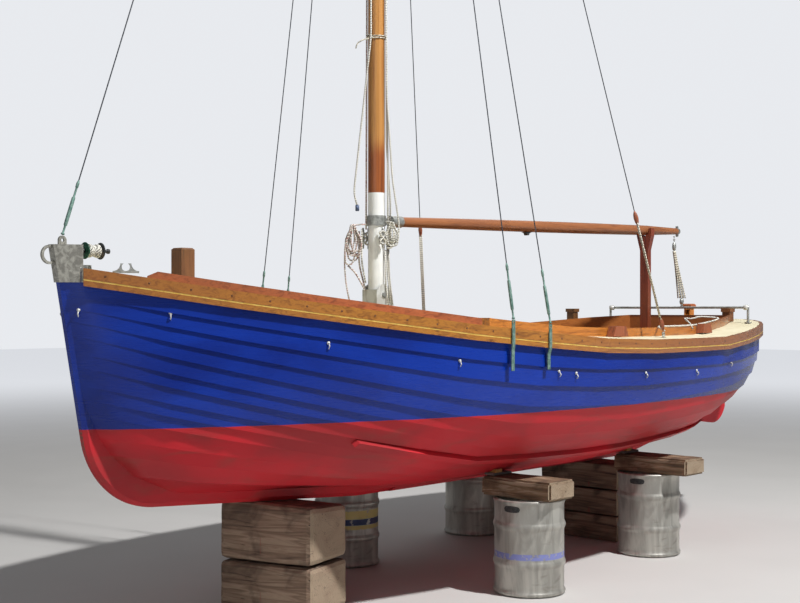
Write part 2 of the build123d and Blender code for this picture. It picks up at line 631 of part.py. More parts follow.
def band_section(aft):
    """Outline of the grooved rubbing band, square to the port sheer."""
    proud = LAP_STEP * BAND_HEIGHT / (sheer(aft) - edge_height(0, aft)) + 2 * BAND_SEAT
    outer = BAND_SEAT + BAND_THICKNESS
    groove_foot = BAND_GROOVE_DOWN + BAND_GROOVE_HEIGHT
    outline = (
        (BAND_SEAT, 0),
        (outer, 0),
        (outer, -BAND_GROOVE_DOWN),
        (outer - BAND_GROOVE, -BAND_GROOVE_DOWN),
        (outer - BAND_GROOVE, -groove_foot),
        (outer, -groove_foot),
        (outer, -BAND_HEIGHT),
        (proud, -BAND_HEIGHT),
    )
    if aft < LENGTH:
        return [sheer_point(aft, outward, rise) for outward, rise in outline]
    return [Vector(fore(LENGTH) - outward, 0, STERN_TOP_HEIGHT + rise) for outward, rise in outline]


with BuildPart() as rub_band:
    sections = [closed_wire(band_section(aft)) for aft in stations(DECK_START, LENGTH - 1)]
    band_half = ruled_form(sections + [closed_wire(band_section(LENGTH))])
    add(band_half)
    add(mirror(band_half, about=Plane.XZ, mode=Mode.PRIVATE))
save(rub_band, "rub_band")


def toe_section(aft, height):
    """Outline of the raised board on the port deck edge."""
    outer, inner = sheer_point(aft, -TOE_INSET, 0), sheer_point(aft, -TOE_INSET - TOE_WIDTH, 0)
    foot = deck_height(MIDSHIP - inner.X, inner.Y) + TOE_SEAT
    corners = ((outer, foot), (outer, foot + height), (inner, foot + height), (inner, foot))
    return closed_wire([Vector(place.X, place.Y, z) for place, z in corners])


with BuildPart() as toe_boards:
    heights = [(aft, TOE_HEIGHT) for aft in stations(TOE_START + TOE_NOSE, TOE_END)]
    heights.insert(0, (TOE_START, TOE_HEIGHT / 4))
    add(ruled_form([toe_section(aft, height) for aft, height in heights]))
    mirror(about=Plane.XZ)
save(toe_boards, "toe_boards")


def coaming_section(aft):
    """Outline of the coaming's port board across the boat."""
    outer, top = coaming_half(aft), deck_height(aft, coaming_half(aft))
    inner = outer - COAMING_THICKNESS
    low, high = top - COAMING_SKIRT, top + COAMING_HEIGHT
    corners = ((outer, low), (outer, high), (inner, high), (inner, low))
    return closed_wire([Vector(fore(aft), y, z) for y, z in corners])


def coaming_end(aft, side):
    """Board across the boat that closes the coaming at one end."""
    half = coaming_half(aft) - COAMING_THICKNESS / 2
    low = deck_height(aft, half) - COAMING_SKIRT
    with Locations((fore(aft) - side * COAMING_THICKNESS / 2, 0, low)):
        Box(COAMING_THICKNESS, 2 * half, COAMING_SKIRT + COAMING_HEIGHT, align=STANDING)


with BuildPart() as coaming:
    add(ruled_form([coaming_section(aft) for aft in coaming_afts]))
    mirror(about=Plane.XZ)
    coaming_end(COCKPIT_FRONT, 1)
    coaming_end(COCKPIT_BACK, -1)
save(coaming, "coaming")

# Inside the cockpit
SOLE_FRONT = BULKHEAD_AFT + BULKHEAD_THICKNESS + SEAT
BENCH_STEPS = 8


def lining_outline(height, first, last, steps):
    """Corner points in plan of what fits inside the planking at a height, down the port side."""
    afts = [first + (last - first) * step / steps for step in range(steps + 1)]
    return [(fore(aft), lining_half(aft, height)) for aft in afts]


with BuildPart() as bulkhead:
    with BuildSketch(Plane(origin=(fore(BULKHEAD_AFT), 0, 0), x_dir=(0, 1, 0), z_dir=(1, 0, 0))):
        back = BULKHEAD_AFT + BULKHEAD_THICKNESS
        board = coaming_half(back)
        skirt = deck_height(back, board) - COAMING_SKIRT - SEAT
        bottom = rabbet_height(BULKHEAD_AFT) + BACKBONE_DEPTH + SEAT
        top = ruled(sheer, back) - DECK_THICKNESS - SEAT
        with BuildLine():
            levels = [top - (top - bottom) * share for share in (0, 0.3, 0.55, 0.75, 0.9, 1)]
            corner = (board + SEAT, deck_height(back, board + SEAT) - DECK_THICKNESS - SEAT)
            edge = [(board + SEAT, skirt), corner] + [(lining_half(back, level), level) for level in levels]
            Polyline(*edge, *[(-y, level) for y, level in edge[::-1]], close=True)
        make_face()
    extrude(amount=-BULKHEAD_THICKNESS)
save(bulkhead, "bulkhead")

with BuildPart() as cockpit_sole:
    with BuildSketch(Plane.XY.offset(SOLE_HEIGHT - SOLE_THICKNESS)):
        with Locations(((fore(SOLE_FRONT) + fore(SOLE_END)) / 2, 0)):
            Rectangle(SOLE_END - SOLE_FRONT, 2 * WELL_HALF)
    extrude(amount=SOLE_THICKNESS)
save(cockpit_sole, "cockpit_sole")

with BuildPart() as benches:
    with BuildSketch(Plane.XY.offset(BENCH_HEIGHT - BENCH_THICKNESS)):
        with BuildLine():
            lining = lining_outline(BENCH_HEIGHT - BENCH_THICKNESS, SOLE_FRONT, BENCH_END, BENCH_STEPS)
            Polyline(*both_sides(lining), close=True)
        make_face()
        with Locations(((fore(SOLE_FRONT) + fore(SOLE_END)) / 2, 0)):
            Rectangle(SOLE_END - SOLE_FRONT, 2 * WELL_HALF, mode=Mode.SUBTRACT)
    extrude(amount=BENCH_THICKNESS)
save(benches, "benches")

with BuildPart() as bench_fronts:
    with BuildSketch(Plane.XY.offset(SOLE_HEIGHT - SOLE_THICKNESS)):
        with Locations(((fore(SOLE_FRONT) + fore(SOLE_END)) / 2 - RISER_THICKNESS / 2, 0)):
            Rectangle(SOLE_END - SOLE_FRONT + RISER_THICKNESS, 2 * (WELL_HALF + RISER_THICKNESS))
        with Locations(((fore(SOLE_FRONT) + fore(SOLE_END)) / 2, 0)):
            Rectangle(SOLE_END - SOLE_FRONT, 2 * WELL_HALF + 2 * SEAT, mode=Mode.SUBTRACT)
    extrude(amount=BENCH_HEIGHT - BENCH_THICKNESS - SOLE_HEIGHT + SOLE_THICKNESS - SEAT)
save(bench_fronts, "bench_fronts")

# Tabernacle and mast
MAST_X = fore(MAST_AFT)
tabernacle_foot = deck_seat(MAST_AFT, 0, TABERNACLE_FLANGE_LENGTH / 2, TABERNACLE_FLANGE_WIDTH / 2)
mast_heel = tabernacle_foot + TABERNACLE_BASE + MAST_HEEL_GAP
cheek_gap = MAST_RADIUS + TABERNACLE_GAP

with BuildPart() as tabernacle:
    with BuildSketch(Plane.XY.offset(tabernacle_foot)):
        with Locations((MAST_X, 0)):
            RectangleRounded(TABERNACLE_FLANGE_LENGTH, TABERNACLE_FLANGE_WIDTH, TABERNACLE_BASE)
    extrude(amount=TABERNACLE_BASE)
    with BuildSketch(Plane.XZ) as cheek:
        shoulder = TABERNACLE_TOP - TABERNACLE_LENGTH / 2
        with BuildLine():
            front, back = MAST_X + TABERNACLE_LENGTH / 2, MAST_X - TABERNACLE_LENGTH / 2
            Polyline((front, shoulder), (front, tabernacle_foot), (back, tabernacle_foot), (back, shoulder))
            ThreePointArc((back, shoulder), (MAST_X, TABERNACLE_TOP), (front, shoulder))
        make_face()
        with Locations((MAST_X, PIVOT_HEIGHT)):
            Circle(PIVOT_RADIUS + PIVOT_CLEARANCE, mode=Mode.SUBTRACT)
    extrude(amount=cheek_gap + TABERNACLE_CHEEK, both=True)
    with Locations((MAST_X, 0, tabernacle_foot + TABERNACLE_BASE)):
        Box(2 * TABERNACLE_LENGTH, 2 * cheek_gap, TABERNACLE_TOP, align=STANDING, mode=Mode.SUBTRACT)
    cheek_half, front_height = cheek_gap + TABERNACLE_CHEEK, TABERNACLE_FRONT - tabernacle_foot
    with Locations((MAST_X + cheek_gap + TABERNACLE_CHEEK / 2, 0, tabernacle_foot)):
        Box(TABERNACLE_CHEEK, 2 * cheek_half, front_height, align=STANDING)
save(tabernacle, "tabernacle")

with BuildPart() as tabernacle_bolt:
    reach = cheek_gap + TABERNACLE_CHEEK + SEAT
    rod((MAST_X, -reach, PIVOT_HEIGHT), (MAST_X, reach, PIVOT_HEIGHT), PIVOT_RADIUS)
    for side in (-1, 1):
        with Locations(Plane(origin=(MAST_X, side * reach, PIVOT_HEIGHT), z_dir=(0, side, 0))):
            Cylinder(PIVOT_HEAD_RADIUS, PIVOT_HEAD, align=STANDING)
save(tabernacle_bolt, "tabernacle_bolt")

with BuildPart() as mast:
    with BuildSketch(Plane.XZ.shift_origin((MAST_X, 0, 0))):
        with BuildLine():
            Polyline(
                (0, mast_heel), (MAST_RADIUS, mast_heel), (MAST_RADIUS, MAST_TAPER_HEIGHT),
                (MAST_HEAD_RADIUS, MAST_HEAD_HEIGHT), (0, MAST_HEAD_HEIGHT), close=True,
            )
        make_face()
    revolve(axis=Axis((MAST_X, 0, 0), (0, 0, 1)))
    with Locations((MAST_X, 0, PIVOT_HEIGHT)):
        Cylinder(PIVOT_RADIUS + PIVOT_CLEARANCE, 3 * MAST_RADIUS, rotation=(90, 0, 0), mode=Mode.SUBTRACT)
save(mast, "mast")


def band_side(height, angle):
    """Point on the outside of a mast band, at an angle from the bow towards port."""
    reach = mast_radius(height) + SEAT + MAST_BAND_THICKNESS
    return Vector(MAST_X + reach * cos(radians(angle)), reach * sin(radians(angle)), height)


with BuildPart() as mast_bands:
    for height, band_height in MAST_BANDS:
        with Locations((MAST_X, 0, height - band_height / 2)):
            Cylinder(mast_radius(height) + SEAT + MAST_BAND_THICKNESS, band_height, align=STANDING)
    with Locations((MAST_X - GOOSENECK_REACH / 2, 0, GOOSENECK_HEIGHT)):
        Box(GOOSENECK_REACH, 2 * (LUG_GAP + LUG_THICKNESS), 2 * LUG_RADIUS)
    with Locations((MAST_X - GOOSENECK_REACH, 0, GOOSENECK_HEIGHT)):
        Cylinder(LUG_RADIUS, 2 * (LUG_GAP + LUG_THICKNESS), rotation=(90, 0, 0))
    tang_room = GOOSENECK_REACH - mast_radius(GOOSENECK_HEIGHT) - MAST_BAND_THICKNESS
    with Locations((MAST_X - GOOSENECK_REACH, 0, GOOSENECK_HEIGHT)):
        Box(2 * tang_room - TANG_FREE, 2 * LUG_GAP, 3 * LUG_RADIUS, mode=Mode.SUBTRACT)
        Cylinder(PIVOT_RADIUS + PIVOT_CLEARANCE, 4 * LUG_RADIUS, rotation=(90, 0, 0), mode=Mode.SUBTRACT)
    for height, band_height in MAST_BANDS:
        with Locations((MAST_X, 0, height)):
            Cylinder(mast_radius(height) + SEAT, 2 * band_height, mode=Mode.SUBTRACT)
save(mast_bands, "mast_bands")

with BuildPart() as gooseneck_pin:
    reach = LUG_GAP + LUG_THICKNESS + SEAT
    rod((BOOM_PIN.X, -reach, BOOM_PIN.Z), (BOOM_PIN.X, reach, BOOM_PIN.Z), PIVOT_RADIUS)
    for side in (-1, 1):
        with Locations(Plane(origin=(BOOM_PIN.X, side * reach, BOOM_PIN.Z), z_dir=(0, side, 0))):
            Cylinder(PIVOT_HEAD_RADIUS, PIVOT_HEAD / 2, align=STANDING)
save(gooseneck_pin, "gooseneck_pin")

# Boom
with BuildPart() as boom:
    with BuildSketch(BOOM_SIDE):
        with BuildLine():
            outline = [(BOOM_HEEL + along, radius) for along, radius in BOOM_STATIONS]
            heel_end, belly, crutch_place, tip = outline
            Line((heel_end[0], 0), heel_end)
            ThreePointArc(heel_end, belly, crutch_place)
            Polyline(crutch_place, tip, (tip[0], 0), (heel_end[0], 0))
        make_face()
    revolve(axis=Axis(origin=BOOM_PIN, direction=BOOM_RUN))
save(boom, "boom")

heel_radius = BOOM_STATIONS[0][1]
with BuildPart() as boom_tang:
    with BuildSketch(BOOM_SIDE.offset(-BOOM_TANG_HALF)):
        Circle(LUG_RADIUS)
        Rectangle(BOOM_HEEL - SEAT, 2 * LUG_RADIUS, align=(Align.MIN, Align.CENTER))
        Circle(PIVOT_RADIUS + PIVOT_CLEARANCE, mode=Mode.SUBTRACT)
    extrude(amount=2 * BOOM_TANG_HALF)
    with BuildSketch(BOOM_SIDE):
        with Locations((BOOM_HEEL - BOOM_CAP_WALL, heel_radius + BOOM_SLEEVE_GAP)):
            Rectangle(BOOM_CAP_LENGTH, BOOM_CAP_WALL, align=(Align.MIN, Align.MIN))
        cap_radius = heel_radius + BOOM_SLEEVE_GAP + BOOM_CAP_WALL
        with Locations((BOOM_HEEL - SEAT, 0)):
            Rectangle(BOOM_CAP_WALL, cap_radius, align=(Align.MAX, Align.MIN))
    revolve(axis=Axis(origin=BOOM_PIN, direction=BOOM_RUN))
save(boom_tang, "boom_tang")

tip_along, tip_radius = BOOM_HEEL + BOOM_STATIONS[-1][0], BOOM_STATIONS[-1][1]
with BuildPart() as boom_end_fitting:
    with BuildSketch(BOOM_SIDE):
        with Locations((tip_along + SEAT, 0)):
            Rectangle(BOOM_END_CAP, tip_radius, align=(Align.MIN, Align.MIN))
    revolve(axis=Axis(origin=BOOM_PIN, direction=BOOM_RUN))
    with BuildSketch(BOOM_SIDE.offset(-BOOM_END_CAP / 4)):
        for side in (-1, 1):
            with Locations((tip_along + SEAT + BOOM_END_CAP / 2, side * (tip_radius + BOOM_END_EYE / 2))):
                Circle(BOOM_END_EYE)
        for side in (-1, 1):
            with Locations((tip_along + SEAT + BOOM_END_CAP / 2, side * (tip_radius + BOOM_END_EYE / 2))):
                Circle(BOOM_END_EYE / 2, mode=Mode.SUBTRACT)
    extrude(amount=BOOM_END_CAP / 2)
save(boom_end_fitting, "boom_end_fitting")

sheave_along = SHEAVE_AFT - MAST_AFT - GOOSENECK_REACH
sheave_top = max(boom_radius(sheave_along + side * SHEAVE_LENGTH / 2 - BOOM_HEEL) for side in (-1, 1)) + SEAT
with BuildPart() as boom_sheave:
    with BuildSketch(BOOM_SIDE.offset(-SHEAVE_CHEEK)):
        with BuildLine():
            chin = -sheave_top - SHEAVE_DROP
            top_fore = (sheave_along - SHEAVE_LENGTH / 2, -sheave_top)
            top_aft = (sheave_along + SHEAVE_LENGTH / 2, -sheave_top)
            chin_fore, chin_aft = (sheave_along - SHEAVE_RADIUS, chin), (sheave_along + SHEAVE_RADIUS, chin)
            Polyline(top_fore, top_aft, chin_aft)
            ThreePointArc(chin_aft, (sheave_along, chin - SHEAVE_RADIUS), chin_fore)
            Line(chin_fore, top_fore)
        make_face()
    extrude(amount=2 * SHEAVE_CHEEK)
save(boom_sheave, "boom_sheave")


# Stays and shrouds
def stay(start, finish, screw_length, screw_radius):
    """A taut wire with a screw or tackle at its foot, as start, joint and finish points."""
    run = (finish - start).normalized()
    lean = hypot(run.X, run.Y) / run.Z
    start += run * screw_radius * lean
    top = finish - run * (WIRE_RADIUS / lean + 2 * SEAT)
    return start, start + run * screw_length, start + run * (screw_length + SEAT), top


def strap_face(aft):
    """Half-breadth of a chainplate's inner face over the rubbing band."""
    outward = BAND_SEAT + BAND_THICKNESS
    faces = [sheer_point(aft + side * STRAP_WIDTH / 2, outward, 0).Y for side in (-1, 1)]
    return max(faces) + STRAP_SEAT


forestay_foot = Vector(fore(STAY_LUG_PLACE), 0, CAP_TOP + STAY_LUG_HEIGHT + SEAT)
forestay_line = stay(forestay_foot, band_side(FORESTAY_HEIGHT, 0), FORESTAY_SCREW, SCREW_RADIUS)
strap_feet = [Vector(fore(aft), strap_face(aft) + STRAP_THICKNESS / 2, ruled(sheer, aft) + STRAP_TOP_RISE + SEAT)
              for aft in STRAP_AFTS]
shroud_lines = [stay(foot, band_side(HOUNDS_HEIGHT, angle), SCREW_LENGTH, SCREW_RADIUS)
                for foot, angle in zip(strap_feet, SHROUD_ANGLES)]
eye_y = ruled(half_beam, BACKSTAY_AFT) - BACKSTAY_INSET
eye_foot = deck_seat(BACKSTAY_AFT, eye_y, EYE_RADIUS, EYE_RADIUS)
backstay_foot = Vector(fore(BACKSTAY_AFT), eye_y, eye_foot + EYE_PLATE + 2 * EYE_RADIUS + SEAT)
backstay_head = band_side(BACKSTAY_HEIGHT, BACKSTAY_ANGLE)
backstay_line = stay(backstay_foot, backstay_head, TACKLE_LENGTH, TACKLE_RADIUS)

with BuildPart() as forestay:
    rod(forestay_line[2], forestay_line[3], WIRE_RADIUS)
save(forestay, "forestay")

with BuildPart() as forestay_screw:
    rod(forestay_line[0], forestay_line[1], SCREW_RADIUS)
save(forestay_screw, "forestay_screw")

with BuildPart() as shrouds:
    for line in shroud_lines:
        rod(line[2], line[3], WIRE_RADIUS)
    mirror(about=Plane.XZ)
save(shrouds, "shrouds")

with BuildPart() as shroud_screws:
    for line in shroud_lines:
        rod(line[0], line[1], SCREW_RADIUS)
    mirror(about=Plane.XZ)
save(shroud_screws, "shroud_screws")

with BuildPart() as running_backstays:
    rod(backstay_line[2], backstay_line[3], WIRE_RADIUS)
    mirror(about=Plane.XZ)
save(running_backstays, "running_backstays")

with BuildPart() as backstay_tackles:
    rod(backstay_line[0], backstay_line[1], TACKLE_RADIUS)
    mirror(about=Plane.XZ)
save(backstay_tackles, "backstay_tackles")

with BuildPart() as backstay_eyes:
    with Locations((fore(BACKSTAY_AFT), eye_y, eye_foot)):
        Cylinder(EYE_RADIUS, EYE_PLATE, align=STANDING)
    with Locations((fore(BACKSTAY_AFT), eye_y, eye_foot + EYE_PLATE + EYE_RADIUS)):
        Torus(EYE_RADIUS - EYE_BAR, EYE_BAR, rotation=(90, 0, 0))
    mirror(about=Plane.XZ)
save(backstay_eyes, "backstay_eyes")

with BuildPart() as chainplates:
    for aft in STRAP_AFTS:
        face, top = strap_face(aft), ruled(sheer, aft) + STRAP_TOP_RISE
        knee = ruled(sheer, aft) - BAND_HEIGHT - SEAT
        low = skin_half(aft, STRAP_BOTTOM) + LAP_STEP + 2 * STRAP_THICKNESS
        line = [(face, top), (face, knee), (low, knee - STRAP_CRANK), (low, STRAP_BOTTOM)]
        with BuildSketch(Plane(origin=(fore(aft) - STRAP_WIDTH / 2, 0, 0), x_dir=(0, 1, 0), z_dir=(1, 0, 0))):
            with BuildLine():
                Polyline(*line, *[(y + STRAP_THICKNESS, z) for y, z in line[::-1]], close=True)
            make_face()
        extrude(amount=STRAP_WIDTH)
        with Locations((fore(aft), face, top - STRAP_HOLE_DOWN)):
            Cylinder(STRAP_HOLE_RADIUS, 4 * STRAP_THICKNESS, rotation=(90, 0, 0), mode=Mode.SUBTRACT)
    mirror(about=Plane.XZ)
save(chainplates, "chainplates")


# Foredeck
def cap_outline(height, inset):
    """Corner points of the stemhead cap's plan at a height."""
    front = stem_face(height) - CAP_WALL + inset
    back = CAP_BACK - inset
    front_half, back_half = CAP_FRONT_HALF - inset, CAP_BACK_HALF - inset
    return closed_wire([Vector(fore(front), front_half, height), Vector(fore(back), back_half, height),
                        Vector(fore(back), -back_half, height), Vector(fore(front), -front_half, height)])


with BuildPart() as stem_cap:
    add(ruled_form([cap_outline(CAP_BOTTOM, 0), cap_outline(CAP_TOP, 0)]))
    inside = ruled_form([cap_outline(CAP_BOTTOM - 1, CAP_WALL), cap_outline(CAP_TOP - CAP_WALL, CAP_WALL)])
    add(inside, mode=Mode.SUBTRACT)
    with Locations((fore(CAP_BACK), 0, CAP_BOTTOM - CAP_WALL)):
        Box(4 * CAP_WALL, 2 * (CAP_BACK_HALF - CAP_WALL), ruled(sheer, CAP_BACK) - CAP_BOTTOM + 2 * CAP_WALL,
            align=STANDING, mode=Mode.SUBTRACT)
    with BuildSketch(Plane.XZ):
        with Locations((fore(STAY_LUG_PLACE), CAP_TOP)):
            Rectangle(STAY_LUG_HEIGHT, STAY_LUG_HEIGHT / 2, align=(Align.CENTER, Align.MIN))
            with Locations((0, STAY_LUG_HEIGHT / 2)):
                Circle(STAY_LUG_HEIGHT / 2)
                Circle(STAY_HOLE_RADIUS, mode=Mode.SUBTRACT)
    extrude(amount=STAY_LUG_THICKNESS / 2, both=True)
save(stem_cap, "stem_cap")

with BuildPart() as bow_ring:
    face_low = Vector(fore(stem_face(CAP_BOTTOM) - CAP_WALL), 0, CAP_BOTTOM)
    face_high = Vector(fore(stem_face(CAP_TOP) - CAP_WALL), 0, CAP_TOP)
    face_out = (face_high - face_low).cross(Vector(0, 1, 0)).normalized() * -1
    with BuildSketch(Plane.XZ):
        with Locations((fore(BOW_RING_RADIUS - BOW_RING_REACH), BOW_RING_HEIGHT)):
            Circle(BOW_RING_RADIUS)
            Circle(BOW_RING_RADIUS - 2 * BOW_RING_BAR, mode=Mode.SUBTRACT)
    extrude(amount=BOW_RING_BAR, both=True)
    split(bisect_by=Plane(origin=face_high + face_out * SEAT, z_dir=face_out), keep=Keep.TOP)
save(bow_ring, "bow_ring")

with BuildPart() as samson_post:
    foot = deck_seat(POST_PLACE, 0, POST_SIDE / 2, POST_SIDE / 2)
    with Locations((fore(POST_PLACE), 0, foot)):
        Box(POST_SIDE, POST_SIDE, POST_TOP - foot, align=STANDING)
    chamfer(samson_post.edges().group_by(Axis.Z)[-1], length=POST_CHAMFER)
save(samson_post, "samson_post")

with BuildPart() as furling_drum:
    rod((fore(CAP_BACK) - SEAT, 0, DRUM_HEIGHT), (fore(DRUM_SPINDLE_END), 0, DRUM_HEIGHT), DRUM_SPINDLE)
    rod((fore(DRUM_START), 0, DRUM_HEIGHT), (fore(DRUM_START + DRUM_LENGTH), 0, DRUM_HEIGHT), DRUM_CORE)
    for place in (DRUM_START, DRUM_START + DRUM_LENGTH - DRUM_FLANGE):
        rod((fore(place), 0, DRUM_HEIGHT), (fore(place + DRUM_FLANGE), 0, DRUM_HEIGHT), DRUM_RADIUS)
save(furling_drum, "furling_drum")

fairlead_y = ruled(half_beam, FAIRLEAD_PLACE) - FAIRLEAD_INSET
fairlead_along = (half_beam(FAIRLEAD_PLACE + 1) - half_beam(FAIRLEAD_PLACE - 1)) / 2
fairlead_run = Vector(1, fairlead_along, 0).normalized() * (FAIRLEAD_LENGTH / 2)
fairlead_inner = fairlead_y - FAIRLEAD_WIDTH / 2
fairlead_feet = [(FAIRLEAD_PLACE + step * fairlead_run.X, fairlead_inner + step * fairlead_run.Y)
                 for step in (-1, 0, 1)]
fairlead_foot = max(deck_height(*place) for place in fairlead_feet) + SEAT
with BuildPart() as bow_fairleads:
    fairlead_side = Plane(
        origin=(fore(FAIRLEAD_PLACE), fairlead_y, fairlead_foot),
        x_dir=(1, -fairlead_along, 0),
        z_dir=(-fairlead_along, -1, 0),
    )
    with BuildSketch(fairlead_side.offset(-FAIRLEAD_WIDTH / 2)):
        Rectangle(FAIRLEAD_LENGTH, FAIRLEAD_HEIGHT, align=(Align.CENTER, Align.MIN))
        with Locations((0, FAIRLEAD_HEIGHT)):
            Rectangle(FAIRLEAD_MOUTH, FAIRLEAD_HEIGHT, mode=Mode.SUBTRACT)
        with Locations((0, FAIRLEAD_THROAT + FAIRLEAD_HEIGHT / 5)):
            Circle(FAIRLEAD_THROAT, mode=Mode.SUBTRACT)
        for side in (-1, 1):
            with Locations((side * FAIRLEAD_LENGTH / 2, FAIRLEAD_HEIGHT)):
                Circle(FAIRLEAD_SHOULDER, mode=Mode.SUBTRACT)
    extrude(amount=FAIRLEAD_WIDTH)
    mirror(about=Plane.XZ)
save(bow_fairleads, "bow_fairleads")

# Aft deck and cockpit fittings
crutch_boom = boom_height(CRUTCH_AFT)
notch = BOOM_STATIONS[2][1] + CRUTCH_CLEARANCE
with BuildPart() as boom_crutch:
    crutch_face = (fore(CRUTCH_AFT) - CRUTCH_THICKNESS / 2, 0, 0)
    with BuildSketch(Plane(origin=crutch_face, x_dir=(0, 1, 0), z_dir=(1, 0, 0))):
        with BuildLine():
            half, tip_half = CRUTCH_WIDTH / 2, CRUTCH_HEAD_WIDTH / 2
            foot, neck = BENCH_HEIGHT + SEAT, crutch_boom - CRUTCH_HEAD_HEIGHT
            shoulder, tip = crutch_boom - notch, crutch_boom + CRUTCH_TIP_RISE
            edge = [(half, foot), (half, neck), (tip_half, shoulder), (tip_half, tip)]
            Polyline(*edge, *[(-y, z) for y, z in edge[::-1]], close=True)
        make_face()
        with Locations((0, crutch_boom)):
            Circle(notch, mode=Mode.SUBTRACT)
            Rectangle(2 * notch, CRUTCH_HEAD_WIDTH, align=(Align.CENTER, Align.MIN), mode=Mode.SUBTRACT)
    extrude(amount=CRUTCH_THICKNESS)
save(boom_crutch, "boom_crutch")

with BuildPart() as mainsheet_horse:
    foot = deck_seat(HORSE_AFT, HORSE_HALF, HORSE_FOOT, HORSE_FOOT)
    ends = [(fore(HORSE_AFT), side * HORSE_HALF, HORSE_HEIGHT) for side in (-1, 1)]
    rod(ends[0], ends[1], HORSE_RADIUS)
    for side in (-1, 1):
        with Locations((fore(HORSE_AFT), side * HORSE_HALF, HORSE_HEIGHT)):
            Sphere(HORSE_RADIUS)
        with Locations((fore(HORSE_AFT), side * HORSE_HALF, foot)):
            Cylinder(HORSE_RADIUS, HORSE_HEIGHT - foot, align=STANDING)
            Cylinder(HORSE_FOOT, 2 * EYE_PLATE, align=STANDING)
save(mainsheet_horse, "mainsheet_horse")

with BuildPart() as bitts:
    for aft, y in BITTS:
        foot = deck_seat(aft, y, BITT_SIDE / 2, BITT_SIDE / 2)
        with Locations((fore(aft), y, foot)):
            Box(BITT_SIDE, BITT_SIDE, BITT_TOP - BITT_CAP - foot, align=STANDING)
        with Locations((fore(aft), y, BITT_TOP - BITT_CAP)):
            Box(BITT_CAP_SIDE, BITT_CAP_SIDE, BITT_CAP, align=STANDING)
save(bitts, "bitts")

with BuildPart() as coaming_chocks:
    for aft, length in CHOCKS:
        inner = max(coaming_half(aft + share * length) for share in (-0.5, 0, 0.5)) + COAMING_GAP
        foot = deck_seat(aft, inner + CHOCK_WIDTH / 2, length / 2, CHOCK_WIDTH / 2)
        with BuildSketch(Plane.XZ.offset(-inner)):
            with BuildLine():
                top = foot + CHOCK_HEIGHT
                corners = (
                    (aft - length / 2, foot),
                    (aft - length / 3, top),
                    (aft + length / 3, top),
                    (aft + length / 2, foot),
                )
                Polyline(*side_points(corners), close=True)
            make_face()
        extrude(amount=-CHOCK_WIDTH)
    mirror(about=Plane.XZ)
save(coaming_chocks, "coaming_chocks")


# Bilge strips
def strip_section(share):
    """Outline of the port bilge strip, seated on the strake below a lap."""
    upper, lower = edge_point(STRIP_EDGE, share), edge_point(STRIP_EDGE + 1, share, LAP_STEP)
    out = (lower - upper).cross(Vector(1, 0, 0)).normalized()
    out = out if out.Y > 0 else out * -1
    corners = [upper + (lower - upper) * part for part in STRIP_BAND]
    return closed_wire([corners[0] + out * SEAT, corners[1] + out * SEAT,
                        corners[1] + out * STRIP_PROUD, corners[0] + out * STRIP_PROUD])


with BuildPart() as bilge_strips:
    shares = [share for share, _ in SECTIONS if STRIP_FIRST <= share <= STRIP_LAST]
    add(ruled_form([strip_section(share) for share in shares]))
    mirror(about=Plane.XZ)
save(bilge_strips, "bilge_strips")

# Rudder
RUDDER_X = fore(RUDDER_AFT)
with BuildPart() as rudder_blade:
    with BuildSketch(Plane.XZ):
        with BuildLine():
            front_aft = RUDDER_AFT - BLADE_FRONT
            front_low, low = (fore(front_aft), BLADE_FRONT_BOTTOM), (fore(BLADE_BOTTOM_AFT), BLADE_BOTTOM)
            back_low = (fore(BLADE_BACK), BLADE_BACK_HEIGHT)
            back_high = (fore(BLADE_BACK), BLADE_TOP - BLADE_CORNER)
            top_back, top_front = (fore(BLADE_BACK - BLADE_CORNER), BLADE_TOP), (fore(front_aft), BLADE_TOP)
            Line(front_low, low)
            sag = (fore(BLADE_BOTTOM_AFT + BLADE_SAG_AFT), BLADE_BOTTOM + BLADE_SAG)
            ThreePointArc(low, sag, back_low)
            Line(back_low, back_high)
            RadiusArc(back_high, top_back, BLADE_CORNER)
            Polyline(top_back, top_front, front_low)
        make_face()
    extrude(amount=BLADE_THICKNESS / 2, both=True)
    with Locations((RUDDER_X, 0, HEEL_PIN_TOP + 2 * PIVOT_HEAD)):
        Cylinder(STOCK_RADIUS + SEAT, BLADE_TOP, align=STANDING, mode=Mode.SUBTRACT)
    socket_depth = HEEL_PIN_TOP + SEAT - HEEL_HEIGHT + 1
    with Locations((RUDDER_X, 0, HEEL_HEIGHT)):
        Cylinder(HEEL_PIN_RADIUS + STOCK_CLEARANCE, socket_depth, align=STANDING, mode=Mode.SUBTRACT)
save(rudder_blade, "rudder_blade")

with BuildPart() as rudder_stock:
    rod((RUDDER_X, 0, HEEL_PIN_TOP + 2 * PIVOT_HEAD + SEAT), (RUDDER_X, 0, HEAD_BOTTOM - SEAT), STOCK_RADIUS)
save(rudder_stock, "rudder_stock")

with BuildPart() as rudder_head:
    with Locations((RUDDER_X, 0, HEAD_BOTTOM)):
        Box(HEAD_SIDE, HEAD_SIDE, HEAD_TOP - HEAD_BOTTOM, align=STANDING)
    with Locations((RUDDER_X + HEAD_SIDE / 2, 0, (HEAD_BOTTOM + HEAD_TOP) / 2)):
        Box(2 * TILLER_DEPTH, TILLER_WIDTH, TILLER_HEIGHT, mode=Mode.SUBTRACT)
save(rudder_head, "rudder_head")

with BuildPart() as rudder_cap:
    with Locations((RUDDER_X, 0, HEAD_TOP + SEAT)):
        Box(HEAD_CAP_SIDE, HEAD_CAP_SIDE, HEAD_CAP, align=STANDING)
    chamfer(rudder_cap.edges().group_by(Axis.Z)[-1], length=PIVOT_HEAD)
save(rudder_cap, "rudder_cap")

